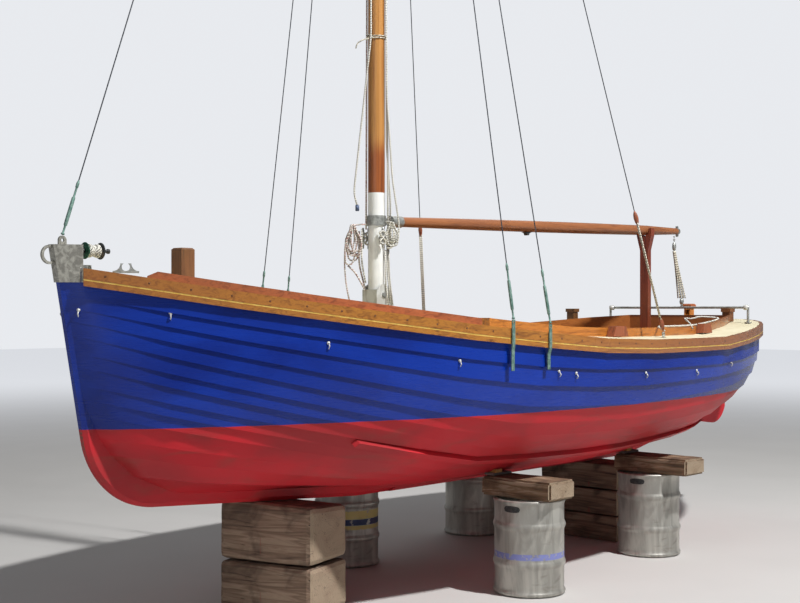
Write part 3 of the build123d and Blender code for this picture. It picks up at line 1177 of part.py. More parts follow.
with BuildPart() as rudder_heel:
    with BuildSketch(Plane.XY.offset(HEEL_HEIGHT - SEAT - HEEL_PLATE)):
        with Locations(((fore(HEEL_AFT) + fore(HEEL_PLATE_END)) / 2, 0)):
            Rectangle(HEEL_PLATE_END - HEEL_AFT, 2 * BACKBONE_HALF)
    extrude(amount=HEEL_PLATE)
    rod((RUDDER_X, 0, HEEL_HEIGHT - SEAT - HEEL_PLATE / 2), (RUDDER_X, 0, HEEL_PIN_TOP), HEEL_PIN_RADIUS)
save(rudder_heel, "rudder_heel")

with BuildPart() as rudder_trunk:
    low = stern_arc_height(RUDDER_AFT + TRUNK_RADIUS, STERN_RADIUS - BACKBONE_DEPTH) + SEAT
    high = deck_height(RUDDER_AFT - TRUNK_RADIUS, TRUNK_RADIUS) - DECK_THICKNESS - SEAT
    rod((RUDDER_X, 0, low), (RUDDER_X, 0, high), TRUNK_RADIUS)
    with Locations((RUDDER_X, 0, low)):
        Cylinder(STOCK_RADIUS + STOCK_CLEARANCE, 4 * (high - low), mode=Mode.SUBTRACT)
save(rudder_trunk, "rudder_trunk")


# Timber and kegs that hold the boat
def baulk(place, turn, length, width, low, high):
    """A squared timber standing at a place, turned about its middle."""
    with Locations(Location((fore(place[0]), place[1], low), (0, 0, turn))):
        Box(width, length, high - low, align=STANDING)


bow_baulk = (BOW_BAULK_PLACE, BOW_BAULK_TURN, BOW_BAULK_LENGTH, BOW_BAULK_WIDTH)
with BuildPart() as bow_baulk_lower:
    baulk(*bow_baulk, BOW_BAULK_LEVELS[0], BOW_BAULK_LEVELS[1])
save(bow_baulk_lower, "bow_baulk_lower")

with BuildPart() as bow_baulk_upper:
    baulk(*bow_baulk, BOW_BAULK_LEVELS[1] + SEAT, KEEL_FACE_HEIGHT)
    under_keel = Plane(origin=(fore(LEVEL_KEEL_AFT), 0, KEEL_BOTTOM - SEAT),
                       z_dir=(-sin(radians(KEEL_SLOPE)), 0, cos(radians(KEEL_SLOPE))))
    split(bisect_by=under_keel, keep=Keep.BOTTOM)
save(bow_baulk_upper, "bow_baulk_upper")

aft_levels = AFT_BAULK_LEVELS + (KEEL_BOTTOM,)
for number, (low, high) in enumerate(zip(aft_levels, aft_levels[1:]), 1):
    with BuildPart() as aft_baulk:
        baulk(AFT_BAULK_PLACE, 0, AFT_BAULK_LENGTH, AFT_BAULK_WIDTH, low, high - SEAT)
    save(aft_baulk, f"aft_baulk_{number}")

for side, places in KEGS.items():
    with BuildPart() as kegs:
        with Locations(*[(fore(aft), y, 0) for aft, y in places]):
            Cylinder(KEG_WALL_RADIUS, KEG_HEIGHT, align=STANDING)
            for share in KEG_RIBS:
                with Locations((0, 0, share * (KEG_HEIGHT - KEG_RIB))):
                    Cylinder(KEG_RADIUS, KEG_RIB, align=STANDING)
    save(kegs, f"{side}_kegs")


def sleeper_inner(aft):
    """Distance off the middle line where a sleeper's upper edge meets the bottom planking."""
    top = KEG_HEIGHT + SEAT + SLEEPER_HEIGHT
    places = [aft + share * SLEEPER_WIDTH for share in (-0.5, 0, 0.5)]
    return max(skin_half(place, top) + LAP_STEP / skin_normal(place, top).Y for place in places) + SLEEPER_GAP


with BuildPart() as sleepers:
    for side, places in zip((1, -1), KEGS.values()):
        for aft, y in places:
            inner = sleeper_inner(aft)
            with Locations((fore(aft), side * (inner + SLEEPER_OUTER) / 2, KEG_HEIGHT + SEAT)):
                Box(SLEEPER_WIDTH, SLEEPER_OUTER - inner, SLEEPER_HEIGHT, align=STANDING)
save(sleepers, "sleepers")

PACKING_FOOT = KEG_HEIGHT + SLEEPER_HEIGHT + 2 * SEAT
packing_blocks = []
for side, places, skin in zip((1, -1), KEGS.values(), (port_planking.part, starboard_planking.part)):
    for aft, y in places:
        with BuildPart() as block:
            middle = sleeper_inner(aft) + PACKING_LENGTH / 2
            with Locations((fore(aft), side * middle, PACKING_FOOT + PACKING_GAP)):
                Box(PACKING_WIDTH, PACKING_LENGTH, PACKING_ROOM, align=STANDING)
            add([skin, bilge_strips.part], mode=Mode.SUBTRACT)
        packing_blocks.append(Pos(0, 0, -PACKING_GAP) * block.solids().sort_by(Axis.Z)[0])

with BuildPart() as packing:
    add(packing_blocks)
save(packing, "packing")
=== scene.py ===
"""Looks of a small clinker built gaff sloop ashore on timber baulks and kegs.

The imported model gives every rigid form. This file gives the finishes, the rope and wire work, the
worn timber and kegs, and a plain studio with the photograph's camera.
"""

from __future__ import annotations

import logging
import math
import random
from dataclasses import dataclass
from enum import Enum
from typing import Callable, Optional, Sequence, Union

import bmesh
import bpy
from mathutils import Matrix, Vector, noise
from mathutils.bvhtree import BVHTree

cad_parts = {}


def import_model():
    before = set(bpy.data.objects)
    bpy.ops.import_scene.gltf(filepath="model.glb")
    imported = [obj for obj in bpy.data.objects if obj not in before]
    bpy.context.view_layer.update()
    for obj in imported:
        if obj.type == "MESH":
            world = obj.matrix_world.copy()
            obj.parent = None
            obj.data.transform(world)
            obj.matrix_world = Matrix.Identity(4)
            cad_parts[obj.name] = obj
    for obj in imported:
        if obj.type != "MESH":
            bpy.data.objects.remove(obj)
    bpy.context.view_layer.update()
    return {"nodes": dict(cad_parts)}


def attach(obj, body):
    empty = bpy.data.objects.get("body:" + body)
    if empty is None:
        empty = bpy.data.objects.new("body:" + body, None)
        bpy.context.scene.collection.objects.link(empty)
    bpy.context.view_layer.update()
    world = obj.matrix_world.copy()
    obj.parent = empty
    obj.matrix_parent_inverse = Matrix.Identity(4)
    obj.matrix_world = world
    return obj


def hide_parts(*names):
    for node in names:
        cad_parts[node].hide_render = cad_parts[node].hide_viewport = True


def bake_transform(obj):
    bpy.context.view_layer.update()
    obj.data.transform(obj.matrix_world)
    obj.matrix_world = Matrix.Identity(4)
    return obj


log = logging.getLogger("sloop")

STEM_X = 3.11425
WELD = 1e-5
CORNER_SHARE = 0.45
PICTURE_NEAR = Vector((0.7364, 0.6765, 0))
PICTURE_RIGHT = Vector((-PICTURE_NEAR.y, PICTURE_NEAR.x, 0))


def fore(aft: float) -> float:
    """Row X of a distance aft of the stem, in metres."""
    return STEM_X - aft


def srgb(red: int, green: int, blue: int) -> tuple[float, float, float, float]:
    """Linear colour of a screen colour.

    Args:
        red: its red, from 0 to 255.
        green: its green.
        blue: its blue.

    Returns:
        The colour in linear parts, with full cover.
    """
    parts = [value / 255 for value in (red, green, blue)]
    linear = [part / 12.92 if part <= 0.04045 else ((part + 0.055) / 1.055) ** 2.4 for part in parts]
    return (linear[0], linear[1], linear[2], 1.0)


Colour = tuple[float, float, float, float]
Stops = Sequence[tuple[float, Colour]]
Profile = Sequence[tuple[float, float]]
Place = tuple[float, float, float]


class Value:
    """A number that varies over a surface and takes part in arithmetic."""

    def __init__(self, shader: Shader, socket: bpy.types.NodeSocket) -> None:
        """Wraps one output socket of a shader."""
        self.shader = shader
        self.socket = socket

    def maths(self, operation: str, *terms: Number) -> Value:
        """Result of one Math node that works on the terms in order."""
        node = self.shader.node("ShaderNodeMath", {"operation": operation}, dict(enumerate(terms)))
        return Value(self.shader, node.outputs[0])

    def __add__(self, other: Number) -> Value:
        """Sum."""
        return self.maths("ADD", self, other)

    def __radd__(self, other: float) -> Value:
        """Sum with a plain number first."""
        return self.maths("ADD", other, self)

    def __sub__(self, other: Number) -> Value:
        """Difference."""
        return self.maths("SUBTRACT", self, other)

    def __rsub__(self, other: float) -> Value:
        """Difference from a plain number."""
        return self.maths("SUBTRACT", other, self)

    def __mul__(self, other: Number) -> Value:
        """Product."""
        return self.maths("MULTIPLY", self, other)

    def __rmul__(self, other: float) -> Value:
        """Product with a plain number first."""
        return self.maths("MULTIPLY", other, self)

    def __truediv__(self, other: Number) -> Value:
        """Quotient."""
        return self.maths("DIVIDE", self, other)

    def __rtruediv__(self, other: float) -> Value:
        """Quotient of a plain number."""
        return self.maths("DIVIDE", other, self)

    def __gt__(self, other: Number) -> Value:
        """1 where this is the larger, and 0 elsewhere."""
        return self.maths("GREATER_THAN", self, other)

    def __lt__(self, other: Number) -> Value:
        """1 where this is the smaller, and 0 elsewhere."""
        return self.maths("LESS_THAN", self, other)

    def fraction(self) -> Value:
        """What is left over the whole number below."""
        return self.maths("FRACT", self)

    def size(self) -> Value:
        """The number without its sign."""
        return self.maths("ABSOLUTE", self)

    def root(self) -> Value:
        """Square root of the number."""
        return self.maths("SQRT", self)

    def wave(self) -> Value:
        """Sine of the number."""
        return self.maths("SINE", self)

    def rise(self, low: float, high: float) -> Value:
        """Smooth step.

        Args:
            low: where the result is 0.
            high: where the result is 1.

        Returns:
            The number mapped to 0 to 1 with soft ends.
        """
        settings = {"interpolation_type": "SMOOTHSTEP"}
        node = self.shader.node("ShaderNodeMapRange", settings, {0: self, 1: low, 2: high})
        return Value(self.shader, node.outputs[0])


Number = Union[float, Value]


class Tree:
    """A tree of nodes under construction."""

    def __init__(self, tree: bpy.types.NodeTree) -> None:
        """Takes a material's or a sky's own tree."""
        self.tree = tree

    def node(self, kind: str, settings: dict | None = None, inputs: dict | None = None) -> bpy.types.Node:
        """Adds any node.

        Args:
            kind: the node's type.
            settings: its properties, set first. "stops" fills a colour ramp.
            inputs: values, sockets or Values for its inputs, by name or number.

        Returns:
            The new node.
        """
        made = self.tree.nodes.new(kind)
        for name, value in (settings or {}).items():
            if name == "stops":
                self._fill_ramp(made.color_ramp, value)
            else:
                setattr(made, name, value)
        for name, value in (inputs or {}).items():
            self.feed(made.inputs[name], value)
        return made

    def feed(self, target: bpy.types.NodeSocket, value: object) -> None:
        """Links or sets one input.

        Args:
            target: the input.
            value: a Value, a socket, a number or a colour.
        """
        if isinstance(value, Value):
            self.tree.links.new(value.socket, target)
        elif isinstance(value, bpy.types.NodeSocket):
            self.tree.links.new(value, target)
        else:
            target.default_value = value

    @staticmethod
    def _fill_ramp(ramp: bpy.types.ColorRamp, stops: Stops) -> None:
        """Sets a ramp's stops.

        Args:
            ramp: the ramp.
            stops: position and colour of each.
        """
        while len(ramp.elements) < len(stops):
            ramp.elements.new(0.5)
        for element, (position, colour) in zip(ramp.elements, stops):
            element.position = position
            element.color = colour


class Shader(Tree):
    """A material under construction, with the surface's own place as its coordinates."""

    def __init__(self, name: str) -> None:
        """Starts a material.

        Args:
            name: the material's name.
        """
        self.material = bpy.data.materials.new(name)
        self.material.use_nodes = True
        super().__init__(self.material.node_tree)
        self.surface = self.tree.nodes["Principled BSDF"]
        self.place = self.node("ShaderNodeTexCoord").outputs["Object"]
        parts = self.node("ShaderNodeSeparateXYZ", inputs={0: self.place}).outputs
        self.x, self.y, self.z = (Value(self, part) for part in parts)

    def normal_part(self, axis: int) -> Value:
        """One part of the surface's direction, X, Y or Z by its number."""
        normal = self.node("ShaderNodeTexCoord").outputs["Normal"]
        return Value(self, self.node("ShaderNodeSeparateXYZ", inputs={0: normal}).outputs[axis])

    def noise(self, scale: Sequence[float], detail: float = 3.0, twist: float = 0.0) -> Value:
        """Soft noise over the surface.

        Args:
            scale: how fast it changes along X, Y and Z, per metre.
            detail: how many finer layers it has.
            twist: how far it is distorted.

        Returns:
            Noise around 0.5.
        """
        inputs = {0: self.place, 1: tuple(scale)}
        stretched = self.node("ShaderNodeVectorMath", {"operation": "MULTIPLY"}, inputs).outputs[0]
        inputs = {"Vector": stretched, "Scale": 1.0, "Detail": detail, "Distortion": twist}
        return Value(self, self.node("ShaderNodeTexNoise", {}, inputs).outputs[0])

    def ramp(self, factor: Value, stops: Stops) -> bpy.types.NodeSocket:
        """Colour looked up by a number."""
        return self.node("ShaderNodeValToRGB", {"stops": stops}, {0: factor}).outputs[0]

    def mix(self, factor: Number, first: object, second: object) -> bpy.types.NodeSocket:
        """Blend of two colours or sockets; the factor is how much of the second shows."""
        settings = {"data_type": "RGBA", "blend_type": "MIX", "clamp_factor": True}
        return self.node("ShaderNodeMix", settings, {0: factor, 6: first, 7: second}).outputs[2]

    def bump(self, height: Value, distance: float) -> bpy.types.NodeSocket:
        """Surface direction of a relief from 0 to 1, a distance in metres deep."""
        inputs = {"Height": height, "Distance": distance, "Strength": 1.0}
        return self.node("ShaderNodeBump", {}, inputs).outputs[0]

    def finish(self, **inputs: object) -> bpy.types.Material:
        """Feeds the surface and ends the material.

        Args:
            inputs: the surface's inputs, with _ for a space.

        Returns:
            The material.
        """
        for name, value in inputs.items():
            title = " ".join(word.upper() if word == "ior" else word.capitalize() for word in name.split("_"))
            self.feed(self.surface.inputs[title], value)
        return self.material


@dataclass(frozen=True)
class HullPaint:
    """Gloss topsides over dull bottom paint, parted by a level waterline."""

    waterline: float = 1.03
    forefoot: float = 1.02
    blue: Colour = srgb(12, 50, 150)
    blue_deep: Colour = srgb(8, 36, 122)
    red: Colour = srgb(196, 28, 40)
    red_dull: Colour = srgb(166, 36, 42)
    wear: Colour = srgb(120, 70, 58)

    def material(self) -> bpy.types.Material:
        """Paint with brush marks, faded patches and a rubbed leading edge.

        Returns:
            The hull's paint.
        """
        shader = Shader("hull_paint")
        patch = shader.noise((1.2, 1.2, 2.4), 4.0, 0.6)
        brush = shader.noise((6, 6, 90), 3.0)
        bottom = shader.z < self.waterline + (shader.noise((9, 9, 9)) - 0.5) * 0.006
        top_colour = shader.mix(patch.rise(0.35, 0.7), self.blue, self.blue_deep)
        low_colour = shader.mix(patch.rise(0.4, 0.62), self.red, self.red_dull)
        chalk = shader.noise((3, 3, 14), 6.0, 0.8).rise(0.5, 0.8)
        low_colour = shader.mix(chalk * 0.4, low_colour, self.wear)
        ahead = shader.normal_part(0).rise(0.90, 0.985) * (shader.z < self.forefoot)
        scuff = shader.noise((60, 60, 60), 4.0).rise(0.42, 0.62)
        low_colour = shader.mix(ahead * scuff, low_colour, self.wear)
        return shader.finish(
            base_color=shader.mix(bottom, top_colour, low_colour),
            roughness=0.24 + bottom * 0.22 + brush * 0.08,
            coat_weight=0.05,
            specular_ior_level=0.32,
            normal=shader.bump(brush * 0.3 + shader.noise((4, 4, 6), 2.0), 0.0009),
        )


class Run(Enum):
    """The way that wood grain runs."""

    ALONG = (2.2, 46.0, 46.0)
    UP = (46.0, 46.0, 2.2)


@dataclass(frozen=True)
class Varnish:
    """Varnished wood, from its light to its dark grain."""

    name: str
    light: Colour
    dark: Colour
    run: Run = Run.ALONG
    aged: Colour = srgb(140, 84, 50)
    aged_from: Optional[float] = None
    gloss: float = 0.24
    seam: float = 0.0

    def material(self) -> bpy.types.Material:
        """Grain, darker streaks, faded stretches and, where set, seams between boards.

        Returns:
            The varnished wood.
        """
        shader = Shader(self.name)
        grain = shader.noise(self.run.value, 6.0, 1.4)
        fine = shader.noise([part * 4 for part in self.run.value], 3.0, 0.4)
        broad = shader.noise((1.6, 1.6, 1.6), 3.0)
        colour = shader.ramp(grain, ((0.26, self.dark), (0.52, self.light), (0.74, self.light)))
        colour = shader.mix(fine.rise(0.46, 0.80) * 0.4, colour, self.dark)
        colour = shader.mix(broad.rise(0.45, 0.7) * 0.5, colour, self.aged)
        if self.aged_from is not None:
            colour = shader.mix((self.aged_from - shader.x).rise(0.0, 2.2) * 0.75, colour, self.aged)
        relief = grain * 0.5 + fine * 0.5
        if self.seam:
            gap = ((shader.y / self.seam).fraction() - 0.5).size() > 0.475
            colour = shader.mix(gap * 0.8, colour, srgb(40, 24, 14))
            relief = relief - gap * 2.0
        return shader.finish(base_color=colour, roughness=self.gloss + broad * 0.14, coat_weight=0.25,
                             normal=shader.bump(relief, 0.0006))


@dataclass(frozen=True)
class MastFinish:
    """White foot, red brown stretch and honey pole."""

    white_top: float = 2.261
    brown_top: float = 2.52

    def material(self) -> bpy.types.Material:
        """Paint and varnish by height, with shakes and stains along the pole.

        Returns:
            The mast's paint and varnish.
        """
        shader = Shader("mast_finish")
        grain = shader.noise((40, 40, 1.1), 5.0, 1.0)
        shake = shader.noise((22, 22, 0.7), 2.0, 0.8)
        honey = shader.ramp(grain, (
            (0.3, srgb(150, 96, 44)), (0.5, srgb(186, 132, 70)), (0.7, srgb(178, 126, 72))))
        brown = shader.ramp(grain, (
            (0.3, srgb(116, 60, 28)), (0.55, srgb(154, 86, 42)), (0.7, srgb(144, 80, 40))))
        edge = (grain - 0.5) * 0.16
        wood = shader.mix((shader.z + edge).rise(self.brown_top - 0.05, self.brown_top + 0.08), brown, honey)
        wood = shader.mix(shake.rise(0.66, 0.70) * 0.7, wood, srgb(96, 50, 24))
        dulled = shader.noise((14, 14, 5), 5.0).rise(0.52, 0.75)
        white = shader.mix(dulled * 0.5, srgb(230, 231, 229), srgb(198, 196, 190))
        painted = shader.z < self.white_top
        return shader.finish(base_color=shader.mix(painted, wood, white), roughness=0.32 + painted * 0.16,
                             coat_weight=0.2, normal=shader.bump(grain, 0.0005))


@dataclass(frozen=True)
class Weathered:
    """A mottled surface: paint, zinc, patina or moulded plastic."""

    name: str
    first: Colour
    second: Colour
    rough: float = 0.5
    metal: float = 0.0
    scale: float = 30.0
    relief: float = 0.0004
    stain: Colour = srgb(110, 84, 60)
    stained: float = 0.12

    def material(self) -> bpy.types.Material:
        """Mottle at two sizes, a few stains and a fine relief.

        Returns:
            The mottled surface.
        """
        shader = Shader(self.name)
        coarse = shader.noise([self.scale] * 3, 5.0, 0.8)
        small = shader.noise([self.scale * 7] * 3, 2.0)
        colour = shader.mix(coarse.rise(0.36, 0.66), self.first, self.second)
        spread = shader.noise((7, 7, 4), 6.0, 1.2).rise(0.60, 0.74)
        colour = shader.mix(spread * self.stained * 4, colour, self.stain)
        rough = self.rough + (small - 0.5) * 0.3
        return shader.finish(base_color=colour, metallic=self.metal, roughness=rough,
                             normal=shader.bump(small + coarse, self.relief))


@dataclass(frozen=True)
class RopeLay:
    """Laid or braided rope."""

    name: str
    body: Colour
    fleck: Colour
    pitch: float = 0.014
    fleck_share: float = 0.2

    def material(self) -> bpy.types.Material:
        """Slanting strands, with the grooves between them darkened as painted shade.

        Returns:
            The rope's surface.
        """
        shader = Shader(self.name)
        turn = 2 * math.pi / self.pitch
        strand = ((shader.x + shader.z + shader.y * 0.6) * turn).wave() * 0.5 + 0.5
        dirt = shader.noise((25, 25, 25), 4.0)
        # Painted shade: the grooves between the strands are darkened towards grey brown.
        colour = shader.mix(strand.rise(0.0, 0.35), srgb(96, 90, 80), self.body)
        spot = shader.noise((160, 160, 160), 1.0) > 0.5 + (0.5 - self.fleck_share) * 0.4
        colour = shader.mix(spot * 0.8, colour, self.fleck)
        colour = shader.mix(dirt.rise(0.5, 0.75) * 0.35, colour, srgb(140, 132, 118))
        return shader.finish(base_color=colour, roughness=0.85, normal=shader.bump(strand, 0.0012))


@dataclass(frozen=True)
class KegMetal:
    """Pressed keg shell with rolled hoops and, on some, painted stripes."""

    name: str
    stripes: tuple[tuple[float, float, Colour], ...] = ()

    def material(self) -> bpy.types.Material:
        """Dull metal with scratches, dents, patches of grime and stripes by height.

        Returns:
            The keg's shell.
        """
        shader = Shader(self.name)
        scratch = shader.noise((14, 14, 3), 5.0, 1.2)
        dent = shader.noise((7, 7, 5), 2.0)
        grime = shader.noise((6, 6, 14), 6.0, 0.8)
        colour = shader.mix(scratch.rise(0.35, 0.65), srgb(156, 154, 147), srgb(188, 186, 178))
        metal = 0.62 - grime.rise(0.55, 0.75) * 0.4
        for low, high, paint in self.stripes:
            inside = (shader.z > low) * (shader.z < high)
            worn = inside * (1 - shader.noise((30, 30, 30), 5.0).rise(0.56, 0.66))
            colour = shader.mix(worn, colour, paint)
            metal = metal * (1 - worn)
        colour = shader.mix(grime.rise(0.58, 0.78) * 0.6, colour, srgb(96, 88, 76))
        rough = 0.36 + grime * 0.2
        return shader.finish(base_color=colour, metallic=metal, roughness=rough,
                             normal=shader.bump(dent + scratch * 0.06, 0.003))


@dataclass(frozen=True)
class OldTimber:
    """Weathered baulk with its grain along Y: grey brown sides, paler end grain and checks."""

    name: str
    side: Colour = srgb(132, 110, 92)
    dark: Colour = srgb(70, 57, 48)
    end: Colour = srgb(156, 138, 116)
    pale: Colour = srgb(156, 136, 116)
    drip: Colour = srgb(150, 70, 66)
    stretch: Place = (34.0, 2.4, 34.0)
    heart_down: float = 0.04

    def material(self) -> bpy.types.Material:
        """Grain along the piece, end rings and checks, black dirt and a few paint drips.

        Returns:
            The old timber.
        """
        shader = Shader(self.name)
        grain = shader.noise(self.stretch, 7.0, 1.6)
        dirt = shader.noise((5, 5, 5), 6.0, 0.9)
        crack = shader.noise([part * 0.6 for part in self.stretch], 3.0, 2.2)
        sides = shader.ramp(grain, (
            (0.24, self.dark), (0.50, self.side), (0.66, self.pale), (0.8, self.side)))
        sides = shader.mix(dirt.rise(0.46, 0.66) * 0.7, sides, self.dark)
        sides = shader.mix(crack.rise(0.70, 0.73), sides, srgb(30, 24, 20))
        streak = shader.noise((16, 16, 0.8), 2.0).rise(0.68, 0.72) * (shader.noise((3, 3, 9), 3.0) > 0.5)
        sides = shader.mix(streak * 0.55, sides, self.drip)
        height = shader.z + self.heart_down
        radius = (shader.x * shader.x + height * height).root()
        growth = ((radius + (dirt - 0.5) * 0.05) * 420).wave()
        ends = shader.mix(growth.rise(0.2, 0.9) * 0.22, self.end, self.side)
        ends = shader.mix(dirt.rise(0.45, 0.7) * 0.6, ends, self.side)
        check = shader.noise((5, 5, 5), 2.0, 3.5)
        ends = shader.mix(check.rise(0.494, 0.5) * check.rise(0.506, 0.5) * 0.8, ends, self.dark)
        facing = shader.normal_part(1).size().rise(0.8, 0.92)
        return shader.finish(base_color=shader.mix(facing, sides, ends), roughness=0.92,
                             normal=shader.bump(grain * 0.6 + crack.rise(0.74, 0.68) * 1.5, 0.004))


class Finish(Enum):
    """Every finish of the boat and of what carries it."""

    HULL = HullPaint()
    BAND = Varnish("band_varnish", srgb(176, 116, 46), srgb(112, 66, 30), aged_from=1.2, gloss=0.2)
    COAMING = Varnish("coaming_varnish", srgb(190, 118, 48), srgb(120, 66, 26), aged_from=-0.4)
    TOE = Varnish("toe_varnish", srgb(178, 98, 56), srgb(122, 60, 34), gloss=0.34)
    POST = Varnish("post_varnish", srgb(112, 76, 42), srgb(52, 34, 20), Run.UP, gloss=0.4)
    BLOCK = Varnish("block_varnish", srgb(152, 84, 54), srgb(98, 50, 32), Run.UP, gloss=0.4)
    BOOM = Varnish("boom_varnish", srgb(150, 92, 52), srgb(108, 60, 34), gloss=0.42)
    CRUTCH = Varnish("crutch_varnish", srgb(128, 54, 34), srgb(84, 30, 20), Run.UP, gloss=0.36)
    HEAD = Varnish("rudder_head_varnish", srgb(206, 128, 48), srgb(150, 84, 34), Run.UP)
    BENCH = Varnish("bench_varnish", srgb(176, 116, 58), srgb(116, 70, 34), seam=0.09)
    MAST = MastFinish()
    DECK = Weathered("deck_paint", srgb(216, 208, 178), srgb(206, 196, 164), 0.6, scale=9.0,
                     stain=srgb(180, 160, 120))
    INSIDE = Weathered("inside_paint", srgb(206, 200, 180), srgb(184, 176, 156), 0.6, scale=6.0)
    ZINC = Weathered("zinc", srgb(150, 152, 148), srgb(186, 188, 184), 0.42, 0.7, 60.0)
    CAP = Weathered("stem_fitting", srgb(140, 138, 130), srgb(184, 182, 172), 0.46, 0.6, 36.0, 0.0009,
                    stained=0.2)
    PATINA = Weathered("patina", srgb(88, 122, 112), srgb(128, 156, 146), 0.6, 0.35, 50.0, 0.0006)
    STEP = Weathered("step_paint", srgb(200, 201, 198), srgb(178, 177, 171), 0.5, 0.1, 20.0,
                     stained=0.2)
    WIRE = Weathered("wire", srgb(58, 62, 68), srgb(92, 96, 102), 0.4, 0.7, 90.0)
    GREEN = Weathered("green_moulding", srgb(18, 74, 56), srgb(30, 92, 70), 0.5, 0.0, 40.0)
    # Dark moulding, also used for the painted shade of the kegs' hand holes.
    DARK = Weathered("dark_moulding_and_hole_shade", srgb(34, 36, 38), srgb(60, 62, 62), 0.5, 0.0, 60.0)
    GILT = Weathered("gilt_line", srgb(232, 206, 108), srgb(214, 176, 76), 0.5, 0.0, 25.0)
    PALE = Weathered("pale_fitting", srgb(212, 212, 208), srgb(190, 190, 186), 0.35, 0.1, 70.0)
    BLOCK_BLUE = Weathered("blue_moulding", srgb(34, 50, 86), srgb(96, 112, 140), 0.4, 0.0, 60.0)
    COPPER = Weathered("plug", srgb(110, 66, 34), srgb(84, 48, 24), 0.5, 0.1, 60.0)
    ROPE = RopeLay("rope_white", srgb(228, 226, 216), srgb(150, 148, 150))
    FLECK = RopeLay("rope_flecked", srgb(222, 218, 212), srgb(150, 62, 58), fleck_share=0.35)
    SHEET_ROPE = RopeLay("rope_sheet", srgb(216, 210, 192), srgb(170, 166, 150), 0.018)
    KEG = KegMetal("keg_plain")
    KEG_BLUE = KegMetal("keg_blue", ((0.207, 0.240, srgb(122, 128, 184)),))
    KEG_BANDED = KegMetal("keg_banded", (
        (0.30, 0.35, srgb(206, 190, 120)), (0.235, 0.26, srgb(198, 182, 112)),
        (0.262, 0.298, srgb(28, 44, 92))))
    TIMBER = OldTimber("baulk_timber")
    TIMBER_AFT = OldTimber("sleeper_timber", srgb(122, 98, 74), srgb(66, 50, 38))
    WEDGE = OldTimber("wedge_timber", srgb(196, 140, 76), srgb(150, 104, 56), srgb(214, 168, 104),
                      srgb(206, 152, 86))
    SLATE = OldTimber("packing_board", srgb(112, 112, 112), srgb(62, 62, 62), srgb(120, 118, 112))


class Slot(Enum):
    """The record's material slots."""

    BLUE_PAINT = "blue_paint"
    RED_PAINT = "red_paint"
    DECK_PAINT = "deck_paint"
    HONEY_VARNISH = "honey_varnish"
    SPAR_VARNISH = "spar_varnish"
    RED_BOARD = "red_board"
    GALVANISED = "galvanised"
    DARK_PLASTIC = "dark_plastic"
    ROPE = "rope"
    TIMBER = "timber"
    KEG_METAL = "keg_metal"


class Lay(Enum):
    """The ways that a loose rope lies."""

    HANGING = "hanging"
    LOOSE = "loose"


def link(name: str, data: bpy.types.ID) -> bpy.types.Object:
    """Puts new data into the scene.

    Args:
        name: the object's name.
        data: its mesh, camera or lamp.

    Returns:
        The new object.
    """
    piece = bpy.data.objects.new(name, data)
    bpy.context.scene.collection.objects.link(piece)
    return piece


class Maker:
    """Makes meshes, links them and hands each one to the body that carries it."""

    def __init__(self) -> None:
        """Makes the material of every finish, and starts with no pieces."""
        self.materials = {finish: finish.value.material() for finish in Finish}
        self.made: list[str] = []

    def mesh(self, name: str, source: Union[Form, bmesh.types.BMesh], finish: Finish, slot: Slot,
             body: str = "boat", smooth: bool = True, replaces: Sequence[str] = ()) -> bpy.types.Object:
        """Makes one piece.

        Args:
            name: the piece's name.
            source: gathered corners and faces, or a worked shape, which is freed.
            finish: its material.
            slot: the record's material slot; not used.
            body: the CAD body it rides on, or nothing where it rides on none.
            smooth: whether its faces are shaded smooth.
            replaces: CAD nodes that it stands for.

        Returns:
            The new object.
        """
        data = bpy.data.meshes.new(name)
        if isinstance(source, Form):
            data.from_pydata([tuple(place) for place in source.verts], [], source.faces)
            data.validate()
        else:
            source.to_mesh(data)
            source.free()
        for polygon in data.polygons:
            polygon.use_smooth = smooth
        data.materials.append(self.materials[finish])
        piece = link(name, data)
        if body:
            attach(piece, body)
        if replaces:
            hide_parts(*replaces)
        self.made.append(name)
        log.info("%s: %d faces on %s", name, len(data.polygons), body or "two bodies")
        return piece

    def cord(self, name: str, path: list[Vector], radius: float, finish: Finish, lay: Lay) -> None:
        """Args:
            name: the piece's name.
            path: its middle line, from where it leaves the boat.
            radius: its radius.
            finish: its material.
            lay: how it lies; not used.
        """
        form = Form()
        form.tube(path, radius)
        piece = self.mesh(name, form, finish, Slot.ROPE)
        length = sum((after - before).length for before, after in zip(path, path[1:]))


def rounded(points: Sequence[Vector], cut: float) -> list[Vector]:
    """Line through points with its corners turned into short curves.

    Args:
        points: the line's corners.
        cut: how far from a corner its curve starts.

    Returns:
        The new line's points.
    """
    line, steps = [points[0]], 5
    for before, corner, after in zip(points, points[1:], points[2:]):
        back, ahead = before - corner, after - corner
        start = corner + back.normalized() * min(cut, back.length * CORNER_SHARE)
        end = corner + ahead.normalized() * min(cut, ahead.length * CORNER_SHARE)
        for k in range(steps + 1):
            share = k / steps
            line.append(start.lerp(corner, share).lerp(corner.lerp(end, share), share))
    return line + [points[-1]]


def ring(centre: Vector, side: Vector, up: Vector, radius: float, sides: int) -> list[Vector]:
    """Corners of one ring, from the way called side round towards the way called up."""
    turns = [2 * math.pi * k / sides for k in range(sides)]
    return [centre + (side * math.cos(turn) + up * math.sin(turn)) * radius for turn in turns]


